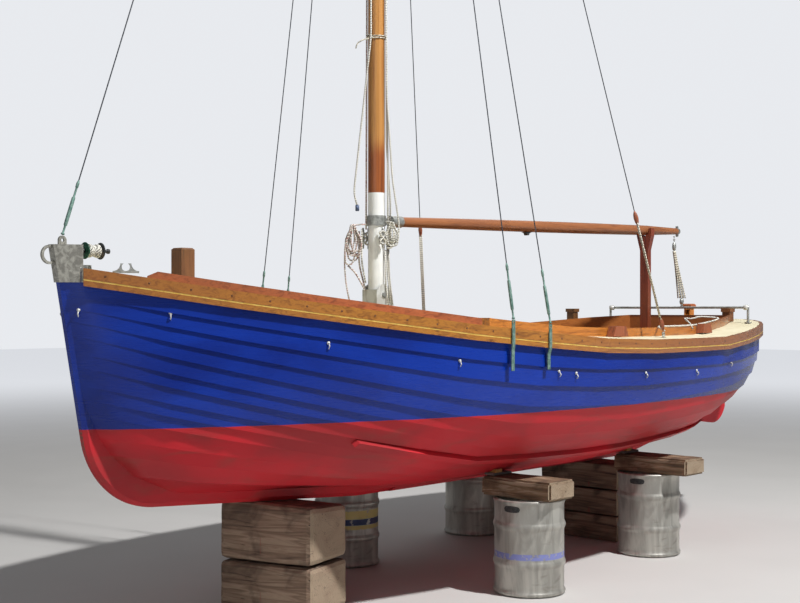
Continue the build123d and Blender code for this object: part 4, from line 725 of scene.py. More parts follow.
class Form:
    """Corners and faces gathered from several shapes into one piece."""

    def __init__(self) -> None:
        """Starts empty."""
        self.verts: list[Vector] = []
        self.faces: list[tuple[int, ...]] = []

    def add(self, verts: Sequence[Vector], faces: Sequence[Sequence[int]]) -> None:
        """Adds one shape.

        Args:
            verts: its corners.
            faces: its faces by its own corner numbers.
        """
        start = len(self.verts)
        self.verts.extend(Vector(v) for v in verts)
        self.faces.extend(tuple(start + i for i in face) for face in faces)

    def rings(self, rows: Sequence[Sequence[Vector]]) -> None:
        """Closes a round shape over rings of corners.

        Args:
            rows: the rings from one end to the other, with as many corners each.
        """
        sides = len(rows[0])
        faces = []
        for row in range(len(rows) - 1):
            for k in range(sides):
                here, there = row * sides, (row + 1) * sides
                faces.append((here + k, here + (k + 1) % sides, there + (k + 1) % sides, there + k))
        faces.append(tuple(reversed(range(sides))))
        faces.append(tuple((len(rows) - 1) * sides + k for k in range(sides)))
        self.add([place for row in rows for place in row], faces)

    def lathe(self, start: Vector, end: Vector, profile: Profile, sides: int = 16) -> None:
        """Turns a profile about a line.

        Args:
            start: the line's first point.
            end: the line's last point.
            profile: distance along the line as a length, and radius.
            sides: how many corners round.
        """
        along = (end - start).normalized()
        side = along.orthogonal().normalized()
        up = along.cross(side)
        self.rings([ring(start + along * distance, side, up, radius, sides) for distance, radius in profile])

    def tube(self, path: Sequence[Vector], radius: float, sides: int = 8) -> None:
        """Round rope or bar along a line of points.

        Args:
            path: its middle line.
            radius: its radius.
            sides: how many corners round.
        """
        rows = []
        side = None
        for i, point in enumerate(path):
            along = (path[min(i + 1, len(path) - 1)] - path[max(i - 1, 0)]).normalized()
            side = along.orthogonal() if side is None else side - along * side.dot(along)
            side.normalize()
            rows.append(ring(point, side, along.cross(side), radius, sides))
        self.rings(rows)

    def block(self, centre: Vector, size: Sequence[float], turn: float = 0.0, bevel: float = 0.2) -> None:
        """Box with cut corners.

        Args:
            centre: its middle.
            size: its three lengths.
            turn: its turn about Z, in radians.
            bevel: share of the least length that is cut from each edge.
        """
        shape = bmesh.new()
        bmesh.ops.create_cube(shape, size=1.0)
        bmesh.ops.scale(shape, vec=Vector(size), verts=shape.verts)
        bmesh.ops.bevel(shape, geom=list(shape.edges), offset=bevel * min(size), segments=2, affect="EDGES")
        matrix = Matrix.Translation(centre) @ Matrix.Rotation(turn, 4, "Z")
        shape.verts.index_update()
        self.add([matrix @ vert.co for vert in shape.verts],
                 [[vert.index for vert in face.verts] for face in shape.faces])
        shape.free()


def welded(node: bpy.types.Object) -> bmesh.types.BMesh:
    """Copy of a CAD node's shape with its faces joined.

    Args:
        node: the node's object.

    Returns:
        The copy, which its user frees.
    """
    shape = bmesh.new()
    shape.from_mesh(node.data)
    bmesh.ops.remove_doubles(shape, verts=shape.verts, dist=WELD)
    return shape


def solids(node: bpy.types.Object) -> list[list[Vector]]:
    """Corners of each separate solid in a CAD node.

    Args:
        node: the node's object.

    Returns:
        The corners, solid by solid.
    """
    shape = welded(node)
    shape.verts.index_update()
    left, found = set(shape.verts), []
    while left:
        group, queue = set(), [next(iter(left))]
        while queue:
            vert = queue.pop()
            if vert not in group:
                group.add(vert)
                queue.extend(edge.other_vert(vert) for edge in vert.link_edges)
        left -= group
        found.append([vert.co.copy() for vert in sorted(group, key=lambda vert: vert.index)])
    shape.free()
    return found


def loose_rods(node: bpy.types.Object) -> list[tuple[Vector, Vector]]:
    """Ends of each straight rod in a CAD node.

    Args:
        node: the node's object, with one or more separate rods.

    Returns:
        Foot and head of each rod, the foot being the lower.
    """
    rods = []
    for places in solids(node):
        middle = sum(place.z for place in places) / len(places)
        low = [place for place in places if place.z < middle]
        high = [place for place in places if place.z >= middle]
        rods.append((sum(low, Vector()) / len(low), sum(high, Vector()) / len(high)))
    return sorted(rods, key=lambda rod: (round(rod[0].y, 3), round(rod[0].x, 3)))


def skin(node: bpy.types.Object) -> BVHTree:
    """Faces of a CAD node, ready to be met by rays."""
    corners = [vert.co for vert in node.data.vertices]
    return BVHTree.FromPolygons(corners, [face.vertices for face in node.data.polygons])


class HullLines:
    """Lines of the sheer and of the groove under it, read from the band's own corners."""

    groove_widths: tuple[float, float] = (0.004, 0.008)

    def __init__(self, band: bpy.types.Object) -> None:
        """Sorts the band's corners into its sheer and groove, down the port side.

        Args:
            band: the rubbing band's object.
        """
        narrow, wide = self.groove_widths
        columns: dict[tuple[float, float], set[float]] = {}
        for vert in band.data.vertices:
            x, y, z = (round(part, 4) for part in vert.co)
            if y >= 0:
                columns.setdefault((x, y), set()).add(z)
        self.groove = sorted((x, y, min(zs), max(zs)) for (x, y), zs in columns.items()
                             if len(zs) == 2 and narrow < max(zs) - min(zs) < wide)
        self.sheer = sorted((x, y, max(zs)) for (x, y), zs in columns.items() if len(zs) == 4)
        log.info("band lines: %d groove points, %d sheer points", len(self.groove), len(self.sheer))

    def at(self, x: float) -> tuple[Vector, Vector]:
        """Point on the band's outer top edge and the way out from it.

        Args:
            x: row X.

        Returns:
            The point and the level outward direction, on the port side.
        """
        for before, after in zip(self.sheer, self.sheer[1:]):
            if before[0] <= x <= after[0]:
                share = (x - before[0]) / max(after[0] - before[0], 1e-9)
                point = Vector(before).lerp(Vector(after), share)
                run = Vector(after) - Vector(before)
                return point, Vector((-run.y, run.x, 0)).normalized()
        return Vector(self.sheer[0]), Vector((-1, 0, 0))


@dataclass
class HullDressing:
    """Finishes of the CAD nodes, and the small things let into the hull's skin and band."""

    maker: Maker
    nodes: dict[str, bpy.types.Object]
    plug_pitch: float = 0.165
    plug_radius: float = 0.0055
    plug_down: float = 0.026
    plug_sunk: float = 0.001
    first_plug: float = 0.08
    last_plug: float = 0.06
    line_proud: float = 0.0038
    crease: float = math.radians(28)
    eyes: tuple[tuple[float, float], ...] = (
        (0.11, 1.585), (0.45, 1.57), (1.13, 1.425), (1.82, 1.325), (2.51, 1.25), (2.65, 1.235), (3.30, 1.215),
        (3.94, 1.205), (4.50, 1.24))

    def paint(self) -> None:
        """Gives every CAD node its finish."""
        chosen = {
            Finish.HULL: ("port_planking", "starboard_planking", "backbone", "ballast_shoe", "bilge_strips",
                          "rudder_blade"),
            Finish.BAND: ("rub_band",),
            Finish.COAMING: ("coaming", "bulkhead"),
            Finish.TOE: ("toe_boards", "rudder_cap"),
            Finish.BLOCK: ("coaming_chocks",),
            Finish.POST: ("samson_post", "bitts"),
            Finish.HEAD: ("rudder_head",),
            Finish.BOOM: ("boom",),
            Finish.CRUTCH: ("boom_crutch",),
            Finish.BENCH: ("benches", "cockpit_sole"),
            Finish.INSIDE: ("bench_fronts", "rudder_trunk"),
            Finish.DECK: ("deck",),
            Finish.MAST: ("mast",),
            Finish.CAP: ("stem_cap", "bow_ring", "rudder_heel", "rudder_stock"),
            Finish.ZINC: ("mast_bands", "gooseneck_pin", "boom_tang", "boom_end_fitting", "backstay_eyes",
                          "mainsheet_horse", "bow_fairleads", "tabernacle_bolt", "forestay_screw",
                          "shroud_screws"),
            Finish.STEP: ("tabernacle",),
            Finish.PATINA: ("chainplates",),
            Finish.WIRE: ("forestay", "shrouds", "running_backstays"),
            Finish.DARK: ("boom_sheave", "furling_drum"),
            Finish.SHEET_ROPE: ("backstay_tackles",),
            Finish.KEG: ("port_kegs", "starboard_kegs"),
            Finish.TIMBER: ("bow_baulk_lower", "bow_baulk_upper", "aft_baulk_1", "aft_baulk_2",
                            "aft_baulk_3", "sleepers", "packing"),
        }
        for finish, names in chosen.items():
            for name in names:
                data = self.nodes[name].data
                data.materials.clear()
                data.materials.append(self.maker.materials[finish])

    def fair(self) -> None:
        """Copies the long faired parts so that they shade smoothly between their sharp edges."""
        chosen = (
            (Finish.HULL, Slot.BLUE_PAINT, ("port_planking", "starboard_planking")),
            (Finish.HULL, Slot.RED_PAINT, ("backbone",)),
            (Finish.BAND, Slot.HONEY_VARNISH, ("rub_band",)),
            (Finish.COAMING, Slot.HONEY_VARNISH, ("coaming",)),
            (Finish.TOE, Slot.RED_BOARD, ("toe_boards",)),
            (Finish.MAST, Slot.SPAR_VARNISH, ("mast",)),
        )
        for finish, slot, names in chosen:
            for name in names:
                shape = welded(self.nodes[name])
                for edge in shape.edges:
                    edge.smooth = len(edge.link_faces) == 2 and edge.calc_face_angle() < self.crease
                self.maker.mesh(f"faired_{name}", shape, finish, slot, replaces=(name,))

    def gilt_line(self, lines: HullLines) -> None:
        """Lays the pale line in the band's groove, down both sides and round the stern.

        Args:
            lines: where the groove runs.
        """
        form = Form()
        last = len(lines.groove) - 1
        for side in (1, -1):
            verts = []
            for i, (x, y, low, high) in enumerate(lines.groove):
                before, after = lines.groove[max(i - 1, 0)], lines.groove[min(i + 1, last)]
                way = Vector((before[1] - after[1], after[0] - before[0], 0)).normalized()
                out = way * self.line_proud
                verts += [Vector((x + out.x, side * (y + out.y), z)) for z in (low, high)]
            form.add(verts, [(2 * i, 2 * i + 2, 2 * i + 3, 2 * i + 1) for i in range(last)])
        self.maker.mesh("gilt_line", form, Finish.GILT, Slot.DECK_PAINT, smooth=False)

    def plugs(self, lines: HullLines) -> None:
        """Sets the row of dark plugs along the band's upper half.

        Args:
            lines: where the sheer runs.
        """
        form = Form()
        rows = ((0, self.plug_radius), (0.0016, self.plug_radius), (0.0021, self.plug_radius * 0.7))
        x = lines.sheer[-1][0] - self.first_plug
        while x > lines.sheer[0][0] + self.last_plug:
            point, out = lines.at(x)
            for side in (1, -1):
                centre = Vector((point.x, side * point.y, point.z - self.plug_down))
                way = Vector((out.x, side * out.y, 0))
                form.lathe(centre - way * self.plug_sunk, centre + way * self.plug_sunk, rows, 10)
            x -= self.plug_pitch
        self.maker.mesh("band_plugs", form, Finish.COPPER, Slot.RED_BOARD)

    def hull_eyes(self) -> None:
        """Screws the small pale lacing eyes to the topsides."""
        side_skin = skin(self.nodes["port_planking"])
        form = Form()
        rows = ((0, 0.008), (0.004, 0.0085), (0.007, 0.006), (0.010, 0.003))
        for aft, height in self.eyes:
            hit, normal, _, _ = side_skin.ray_cast(Vector((fore(aft), 2, height)), Vector((0, -1, 0)))
            if hit is None:
                log.warning("no skin at %.2f m aft", aft)
                continue
            for side in (1, -1):
                centre = Vector((hit.x, side * hit.y, hit.z))
                way = Vector((normal.x, side * normal.y, normal.z))
                form.lathe(centre, centre + way, rows, 12)
                drop = [centre + way * (0.006 + 0.010 * math.sin(math.pi * k / 8))
                        + Vector((0, 0, -0.004 - 0.026 * k / 8)) for k in range(9)]
                form.tube(drop, 0.0032, 6)
        self.maker.mesh("hull_eyes", form, Finish.PALE, Slot.GALVANISED)


@dataclass
class Standing:
    """Rigging screws and backstay tackles of the standing rigging."""

    maker: Maker
    nodes: dict[str, bpy.types.Object]
    tackle_over: float = 0.14
    block_length: float = 0.09
    fall_start: float = 0.07
    fall_apart: float = 0.008
    fall_radius: float = 0.0035

    def screws(self) -> None:
        """Turns each rigging screw as a barrel between two threaded ends."""
        form = Form()
        rows = ((0, .004), (.01, .009), (.03, .009), (.036, .005), (.16, .005), (.18, .0085), (.30, .009),
                (.55, .009), (.68, .0085), (.70, .005), (.86, .005), (.88, .0075), (.95, .0075), (1, .0035))
        replaced = ("shroud_screws", "forestay_screw")
        for node in replaced:
            for foot, head in loose_rods(self.nodes[node]):
                length = (head - foot).length
                form.lathe(foot, head, [(share * length, radius) for share, radius in rows], 12)
        self.maker.mesh("rigging_screws", form, Finish.PATINA, Slot.GALVANISED, replaces=replaced)

    def tackles(self) -> None:
        """Strings each backstay tackle between two wooden blocks."""
        rope, blocks = Form(), Form()
        rows = ((0, .003), (.008, .007), (.02, .012), (.045, .015), (.07, .012), (.082, .007),
                (self.block_length, .003))
        for foot, rod_head in loose_rods(self.nodes["backstay_tackles"]):
            along = (rod_head - foot).normalized()
            head = rod_head + along * self.tackle_over
            side = along.cross(Vector((0, 0, 1))).normalized()
            length = (head - foot).length
            for start in (0.0, length - self.block_length):
                blocks.lathe(foot + along * start, head, rows, 10)
            for offset in (-self.fall_apart, 0.0, self.fall_apart):
                ends = (self.fall_start, length - self.fall_start)
                rope.tube([foot + along * reach + side * offset for reach in ends], self.fall_radius)
        self.maker.mesh("tackle_falls", rope, Finish.SHEET_ROPE, Slot.ROPE, replaces=("backstay_tackles",))
        self.maker.mesh("tackle_blocks", blocks, Finish.BLOCK, Slot.HONEY_VARNISH)


@dataclass
class MastWork:
    """Halyards with their cleats and hanks, and the lashing high on the mast."""

    maker: Maker
    mast_x: float = fore(2.15)
    pole_radius: float = 0.0485
    cleat_height: float = 2.0
    cleat_angles: tuple[float, ...] = (70, 150, 215, -60, -100)
    lashing_height: float = 3.15
    coil_radius: float = 0.0525
    rope_radius: float = 0.005
    hank_radius: float = 0.0045
    line_radius: float = 0.0035

    def around(self, angle: float, reach: float, height: float) -> Vector:
        """Point at an angle from the bow towards port, a reach from the mast's middle and a height."""
        turn = math.radians(angle)
        return Vector((self.mast_x + reach * math.cos(turn), reach * math.sin(turn), height))

    def beside(self, across: float, near: float, height: float) -> Vector:
        """Point to the picture's right of the mast, nearer the camera and at a height."""
        return self.around(0, 0, height) + PICTURE_RIGHT * across + PICTURE_NEAR * near

    def halyards(self) -> None:
        """Leads the halyards from the mast's foot to its head."""
        plain_leads = (
            ((-.112, .03, 2.19), (-.130, .03, 2.26), (-.031, .056, 3.147), (-.02, .048, 7.45)),
            ((.067, .02, 1.95), (.066, .02, 2.34), (.056, .02, 3.38), (.048, .02, 7.50)),
            ((.064, .03, 1.94), (.125, .03, 1.98), (.132, .03, 2.076), (.093, .03, 2.336), (.060, .03, 2.83),
             (.055, .025, 3.38), (.042, .02, 7.50)),
            ((.055, 0, 2.02), (.082, 0, 2.12), (.080, 0, 2.23), (.058, 0, 2.55), (.050, -.01, 7.50)),
            ((.062, .01, 1.95), (.064, .01, 1.80), (.084, .01, 1.61)),
            ((.052, .035, 1.93), (.054, .035, 1.74), (.070, .03, 1.61)),
            ((.070, -.01, 1.94), (.074, -.01, 1.78), (.094, -.01, 1.61)),
            ((-.084, .01, 2.05), (-.086, .01, 1.86), (-.062, .02, 1.74)),
        )
        flecked_leads = (
            ((-.060, 0, 2.05), (-.056, 0, 3.2), (-.050, 0, 7.50)),
            ((-.100, 0, 2.04), (-.102, 0, 1.85), (-.066, .01, 1.71)),
            ((-.165, .02, 1.84), (-.120, .02, 1.80), (-.066, .03, 1.70)),
        )
        for name, leads, finish in (("halyards_plain", plain_leads, Finish.ROPE),
                                    ("halyards_flecked", flecked_leads, Finish.FLECK)):
            form = Form()
            for lead in leads:
                form.tube(rounded([self.beside(*place) for place in lead], 0.05), self.rope_radius)
            self.maker.mesh(name, form, finish, Slot.ROPE)
        block = Form()
        block.block(self.beside(-.110, .03, 2.172), (0.012, 0.022, 0.036), 0.9)
        self.maker.mesh("halyard_block", block, Finish.BLOCK_BLUE, Slot.DARK_PLASTIC)

    def cleat_feet(self) -> list[tuple[Vector, Vector]]:
        """Foot of each cleat on the mast, and the way out from it.

        Returns:
            Foot and outward way, cleat by cleat.
        """
        middle = self.around(0, 0, 0)
        return [(self.around(angle, self.pole_radius, self.cleat_height),
                 (self.around(angle, 1, 0) - middle).normalized()) for angle in self.cleat_angles]

    def cleats(self) -> None:
        """Bolts the cleats round the mast's foot."""
        form = Form()
        for foot, out in self.cleat_feet():
            form.lathe(foot, foot + out, ((0, 0.010), (0.018, 0.007), (0.026, 0.009)), 10)
            form.tube([foot + out * (0.026 + 0.006 * abs(k) / 4) + Vector((0, 0, 0.015 * k))
                       for k in range(-4, 5)], 0.006)
        self.maker.mesh("mast_cleats", form, Finish.ZINC, Slot.GALVANISED)

    def turns(self) -> None:
        """Winds the belayed turns over the cleats."""
        form = Form()
        steps = 24
        for foot, out in self.cleat_feet():
            side = Vector((-out.y, out.x, 0))
            middle = foot + out * 0.024
            path = []
            for k in range(2 * steps + 1):
                turn = 2 * math.pi * k / steps
                rise = Vector((0, 0, 0.036 * math.sin(turn)))
                layer = out * (0.004 + 0.005 * k / steps)
                path.append(middle + side * 0.018 * math.sin(2 * turn) + rise + layer)
            form.tube(path, self.rope_radius)
        self.maker.mesh("belayed_turns", form, Finish.ROPE, Slot.ROPE)

    def hank(self, name: str, top: Place, drop: float, half: float, loops: int,
             finish: Finish, seed: int, tail: Sequence[Place] = ()) -> None:
        """Hangs one halyard's spare length in tangled loops.

        Args:
            name: the piece's name.
            top: where the loops hang from, across, near and height.
            drop: how far they hang.
            half: half of their width.
            loops: how many there are.
            finish: the rope's material.
            seed: what makes this hank's loops uneven.
            tail: points of the end that hangs out of the loops.
        """
        picker = random.Random(seed)
        path = []
        steps = 24
        fall = width = swing = shift = 0.0
        for k in range(loops * steps + 1):
            if k % steps == 0:
                fall, width = drop * picker.uniform(0.62, 1.0), half * picker.uniform(0.4, 1.0)
                swing, shift = picker.uniform(-1.0, 1.0), half * picker.uniform(-0.5, 0.5)
            turn = 2 * math.pi * k / steps
            sway = (1 - math.cos(turn)) / 2
            wide = width * math.sin(turn) * (1 - 0.45 * math.cos(turn)) + 0.1 * width * math.sin(5 * turn)
            across = top[0] + shift * sway + wide * math.cos(swing)
            near = top[1] + wide * math.sin(swing) * 0.5 + 0.004 * k / steps
            path.append(self.beside(across, near, top[2] - fall * sway))
        made_fast = self.beside(math.copysign(0.052, top[0]), top[1], top[2] + 0.004)
        end = rounded([path[-1]] + [self.beside(*place) for place in tail], 0.03)[1:]
        self.maker.cord(name, [made_fast] + path + end, self.hank_radius, finish, Lay.HANGING)

    def lashing(self) -> None:
        """Ties the small line round the pole high up."""
        form = Form()
        for rise in (0.0, 0.012):
            low = self.lashing_height + rise
            coil = [self.around(15 * k, self.coil_radius, low + 0.0004 * k) for k in range(25)]
            form.tube(coil, self.line_radius)
        form.block(self.beside(-.03, .05, self.lashing_height + 0.004), (0.018, 0.018, 0.022), bevel=0.3)
        tail = ((-.03, .052, 3.147), (-.075, .05, 3.140), (-.110, .05, 3.118), (-.118, .05, 3.088))
        form.tube(rounded([self.beside(*place) for place in tail], 0.03), self.line_radius)
        self.maker.mesh("mast_lashing", form, Finish.SHEET_ROPE, Slot.ROPE)

    def build(self) -> None:
        """Makes all of the mast's rope work."""
        self.halyards()
        self.cleats()
        self.turns()
        self.hank("halyard_hank_port", (.088, .03, 2.09), 0.16, 0.034, 5, Finish.ROPE, 3)
        self.hank("halyard_hank_starboard", (-.135, .02, 2.075), 0.24, 0.050, 9, Finish.FLECK, 8,
                  ((-.182, .02, 1.95), (-.184, .02, 1.84), (-.176, .02, 1.74), (-.155, .02, 1.63)))
        self.lashing()


@dataclass
class Foredeck:
    """Furling drum and its line on the stemhead."""

    maker: Maker
    height: float = 1.862
    nose: float = 0.1185
    start: float = 0.180
    length: float = 0.092
    line_radius: float = 0.0038

    def place(self, aft: float) -> Vector:
        """Point on the drum's middle line at a distance aft of the stem."""
        return Vector((fore(aft), 0, self.height))

    def drum(self) -> None:
        """Turns the drum's two flanges, its core and spindle."""
        ahead, behind = Form(), Form()
        front, back = self.place(self.start), self.place(self.start + self.length)
        flange = ((0, .012), (.001, .036), (.002, .0395), (.004, .040), (.006, .0385), (.009, .020),
                  (.010, .018))
        core = ((0, .008), (.05, .008), (.055, .010), (.062, .010))
        spindle = ((0, .011), (.012, .011), (.016, .008), (.03, .008), (.034, .012), (.044, .012),
                   (.046, .009))
        ahead.lathe(front, back, flange, 28)
        behind.lathe(back, front, flange, 28)
        behind.lathe(self.place(self.nose), back, core, 14)
        behind.lathe(back, back + Vector((-1, 0, 0)), spindle, 14)
        self.maker.mesh("drum_front", ahead, Finish.GREEN, Slot.DARK_PLASTIC)
        self.maker.mesh("drum_back", behind, Finish.DARK, Slot.DARK_PLASTIC, replaces=("furling_drum",))

    def line(self) -> None:
        """Winds the white line on the drum's core."""
        form = Form()
        path = []
        turns, steps = 10, 20
        for k in range(turns * steps + 1):
            turn = 2 * math.pi * k / steps
            share = k / (turns * steps)
            reach = 0.026 + 0.003 * math.sin(share * 9)
            middle = self.place(self.start + 0.014 + share * (self.length - 0.028))
            path.append(middle + Vector((0, reach * math.sin(turn), reach * math.cos(turn))))
        form.tube(path, self.line_radius, 6)
        self.maker.mesh("furling_line", form, Finish.ROPE, Slot.ROPE)


class Surface:
    """Tops of several CAD nodes, for what lies on them."""

    def __init__(self, objects: Sequence[bpy.types.Object]) -> None:
        """Gathers the faces of the nodes' objects."""
        self.trees = [skin(piece) for piece in objects]

    def crest(self, x: float, low: float, high: float, lift: float) -> Vector:
        """Point above the highest place across the boat at one station.

        Args:
            x: row X.
            low: row Y where the search starts.
            high: row Y where it ends.
            lift: how far above.

        Returns:
            The point.
        """
        tops = []
        steps = 30
        for k in range(steps + 1):
            y = low + (high - low) * k / steps
            for tree in self.trees:
                hit = tree.ray_cast(Vector((x, y, 3)), Vector((0, 0, -1)))[0]
                if hit is not None:
                    tops.append((round(hit.z, 3), y))
        height, y = max(tops)
        return Vector((x, y, height + lift))


@dataclass
class AfterDeck:
    """Ropes and small fittings from the crutch to the stern."""

    maker: Maker
    surface: Surface
    horse_aft: float = 5.510
    horse_height: float = 1.60
    boom_eye_aft: float = 5.475
    hook_height: float = 2.152
    upper_height: float = 2.035
    lower_height: float = 1.672
    lower_y: float = 0.045
    falls: int = 6
    fall_radius: float = 0.0048
    line_radius: float = 0.006
    rail: tuple[float, float] = (0.55, 0.93)
    rail_stations: tuple[float, ...] = (3.86, 4.05, 4.25, 4.45, 4.65, 4.85, 4.98)
    mooring_eye: Place = (fore(3.69), 0.982, 1.456)

    def mainsheet(self) -> None:
        """Strings the falls between the boom's end and the horse, with a block at each end."""
        upper, lower, rope = Form(), Form(), Form()
        hook = Vector((fore(self.boom_eye_aft), 0.0, self.hook_height))
        high = Vector((fore(self.boom_eye_aft), 0.0, self.upper_height))
        low = Vector((fore(self.horse_aft), self.lower_y, self.lower_height))
        foot = Vector((fore(self.horse_aft), self.lower_y, self.horse_height))
        upper.lathe(hook, high, (
            (0, .003), (.006, .008), (.012, .003), (.022, .003), (.03, .010), (.038, .003),
            (.05, .004), (.058, .013), (.085, .016), (.105, .013), (.115, .004)), 10)
        lower.lathe(low, foot, (
            (0, .004), (.008, .013), (.028, .017), (.046, .013), (.052, .005), (.06, .012), (.07, .004)), 10)
        steps = 24
        for k in range(self.falls):
            spread = (2 * k + 1 - self.falls) / self.falls
            depth = 0.008 if k % 2 else -0.008
            path = []
            for i in range(steps + 1):
                share = i / steps
                wide = 0.008 + 0.024 * share * share * (1.9 - 0.9 * share)
                path.append(high.lerp(low, share) + PICTURE_RIGHT * spread * wide + PICTURE_NEAR * depth)
            rope.tube(path, self.fall_radius)
        self.maker.mesh("sheet_block_upper", upper, Finish.ZINC, Slot.GALVANISED, "boom")
        self.maker.mesh("sheet_block_lower", lower, Finish.ZINC, Slot.GALVANISED)
        piece = self.maker.mesh("mainsheet_falls", rope, Finish.SHEET_ROPE, Slot.ROPE, "")
        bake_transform(piece)

    def mooring_line(self) -> None:
        """Lays the mooring line along the side coaming and back."""
        path = [Vector(self.mooring_eye)]
        for aft in self.rail_stations:
            path.append(self.surface.crest(fore(aft), *self.rail, self.line_radius))
        turn = path[-1]
        for step in ((-0.045, -0.012, 0.006), (-0.050, -0.045, 0.012), (0.02, -0.062, 0.016),
                     (0.16, -0.050, 0.020), (0.30, -0.030, 0.006), (0.44, -0.012, 0.010)):
            path.append(turn + Vector(step))
        last = self.surface.crest(fore(4.42), *self.rail, self.line_radius * 2.5)
        path += [last + Vector((0.03, -0.01, 0.006)), last + Vector((0.06, 0.03, -0.03))]
        self.maker.cord("mooring_line", rounded(path, 0.05), self.line_radius, Finish.ROPE, Lay.LOOSE)

    def horse_stops(self) -> None:
        """Slides the pale stops on to the horse's bar."""
        form = Form()
        rows = ((0, .010), (.004, .019), (.034, .019), (.038, .010))
        for y in (0.585, -0.585):
            middle = Vector((fore(self.horse_aft), y, self.horse_height))
            form.lathe(middle - Vector((0, 0.02, 0)), middle + Vector((0, 1, 0)), rows, 16)
        self.maker.mesh("horse_stops", form, Finish.PALE, Slot.GALVANISED)


def split_long(shape: bmesh.types.BMesh, longest: float) -> None:
    """Cuts a shape into triangles whose edges are short enough to wear.

    Args:
        shape: the shape.
        longest: length over which an edge is halved, three times at most.
    """
    bmesh.ops.triangulate(shape, faces=shape.faces)
    for _ in range(3):
        edges = [edge for edge in shape.edges if edge.calc_length() > longest]
        if edges:
            bmesh.ops.subdivide_edges(shape, edges=edges, cuts=1)
            bmesh.ops.triangulate(shape, faces=[face for face in shape.faces if len(face.verts) > 3])
    shape.normal_update()


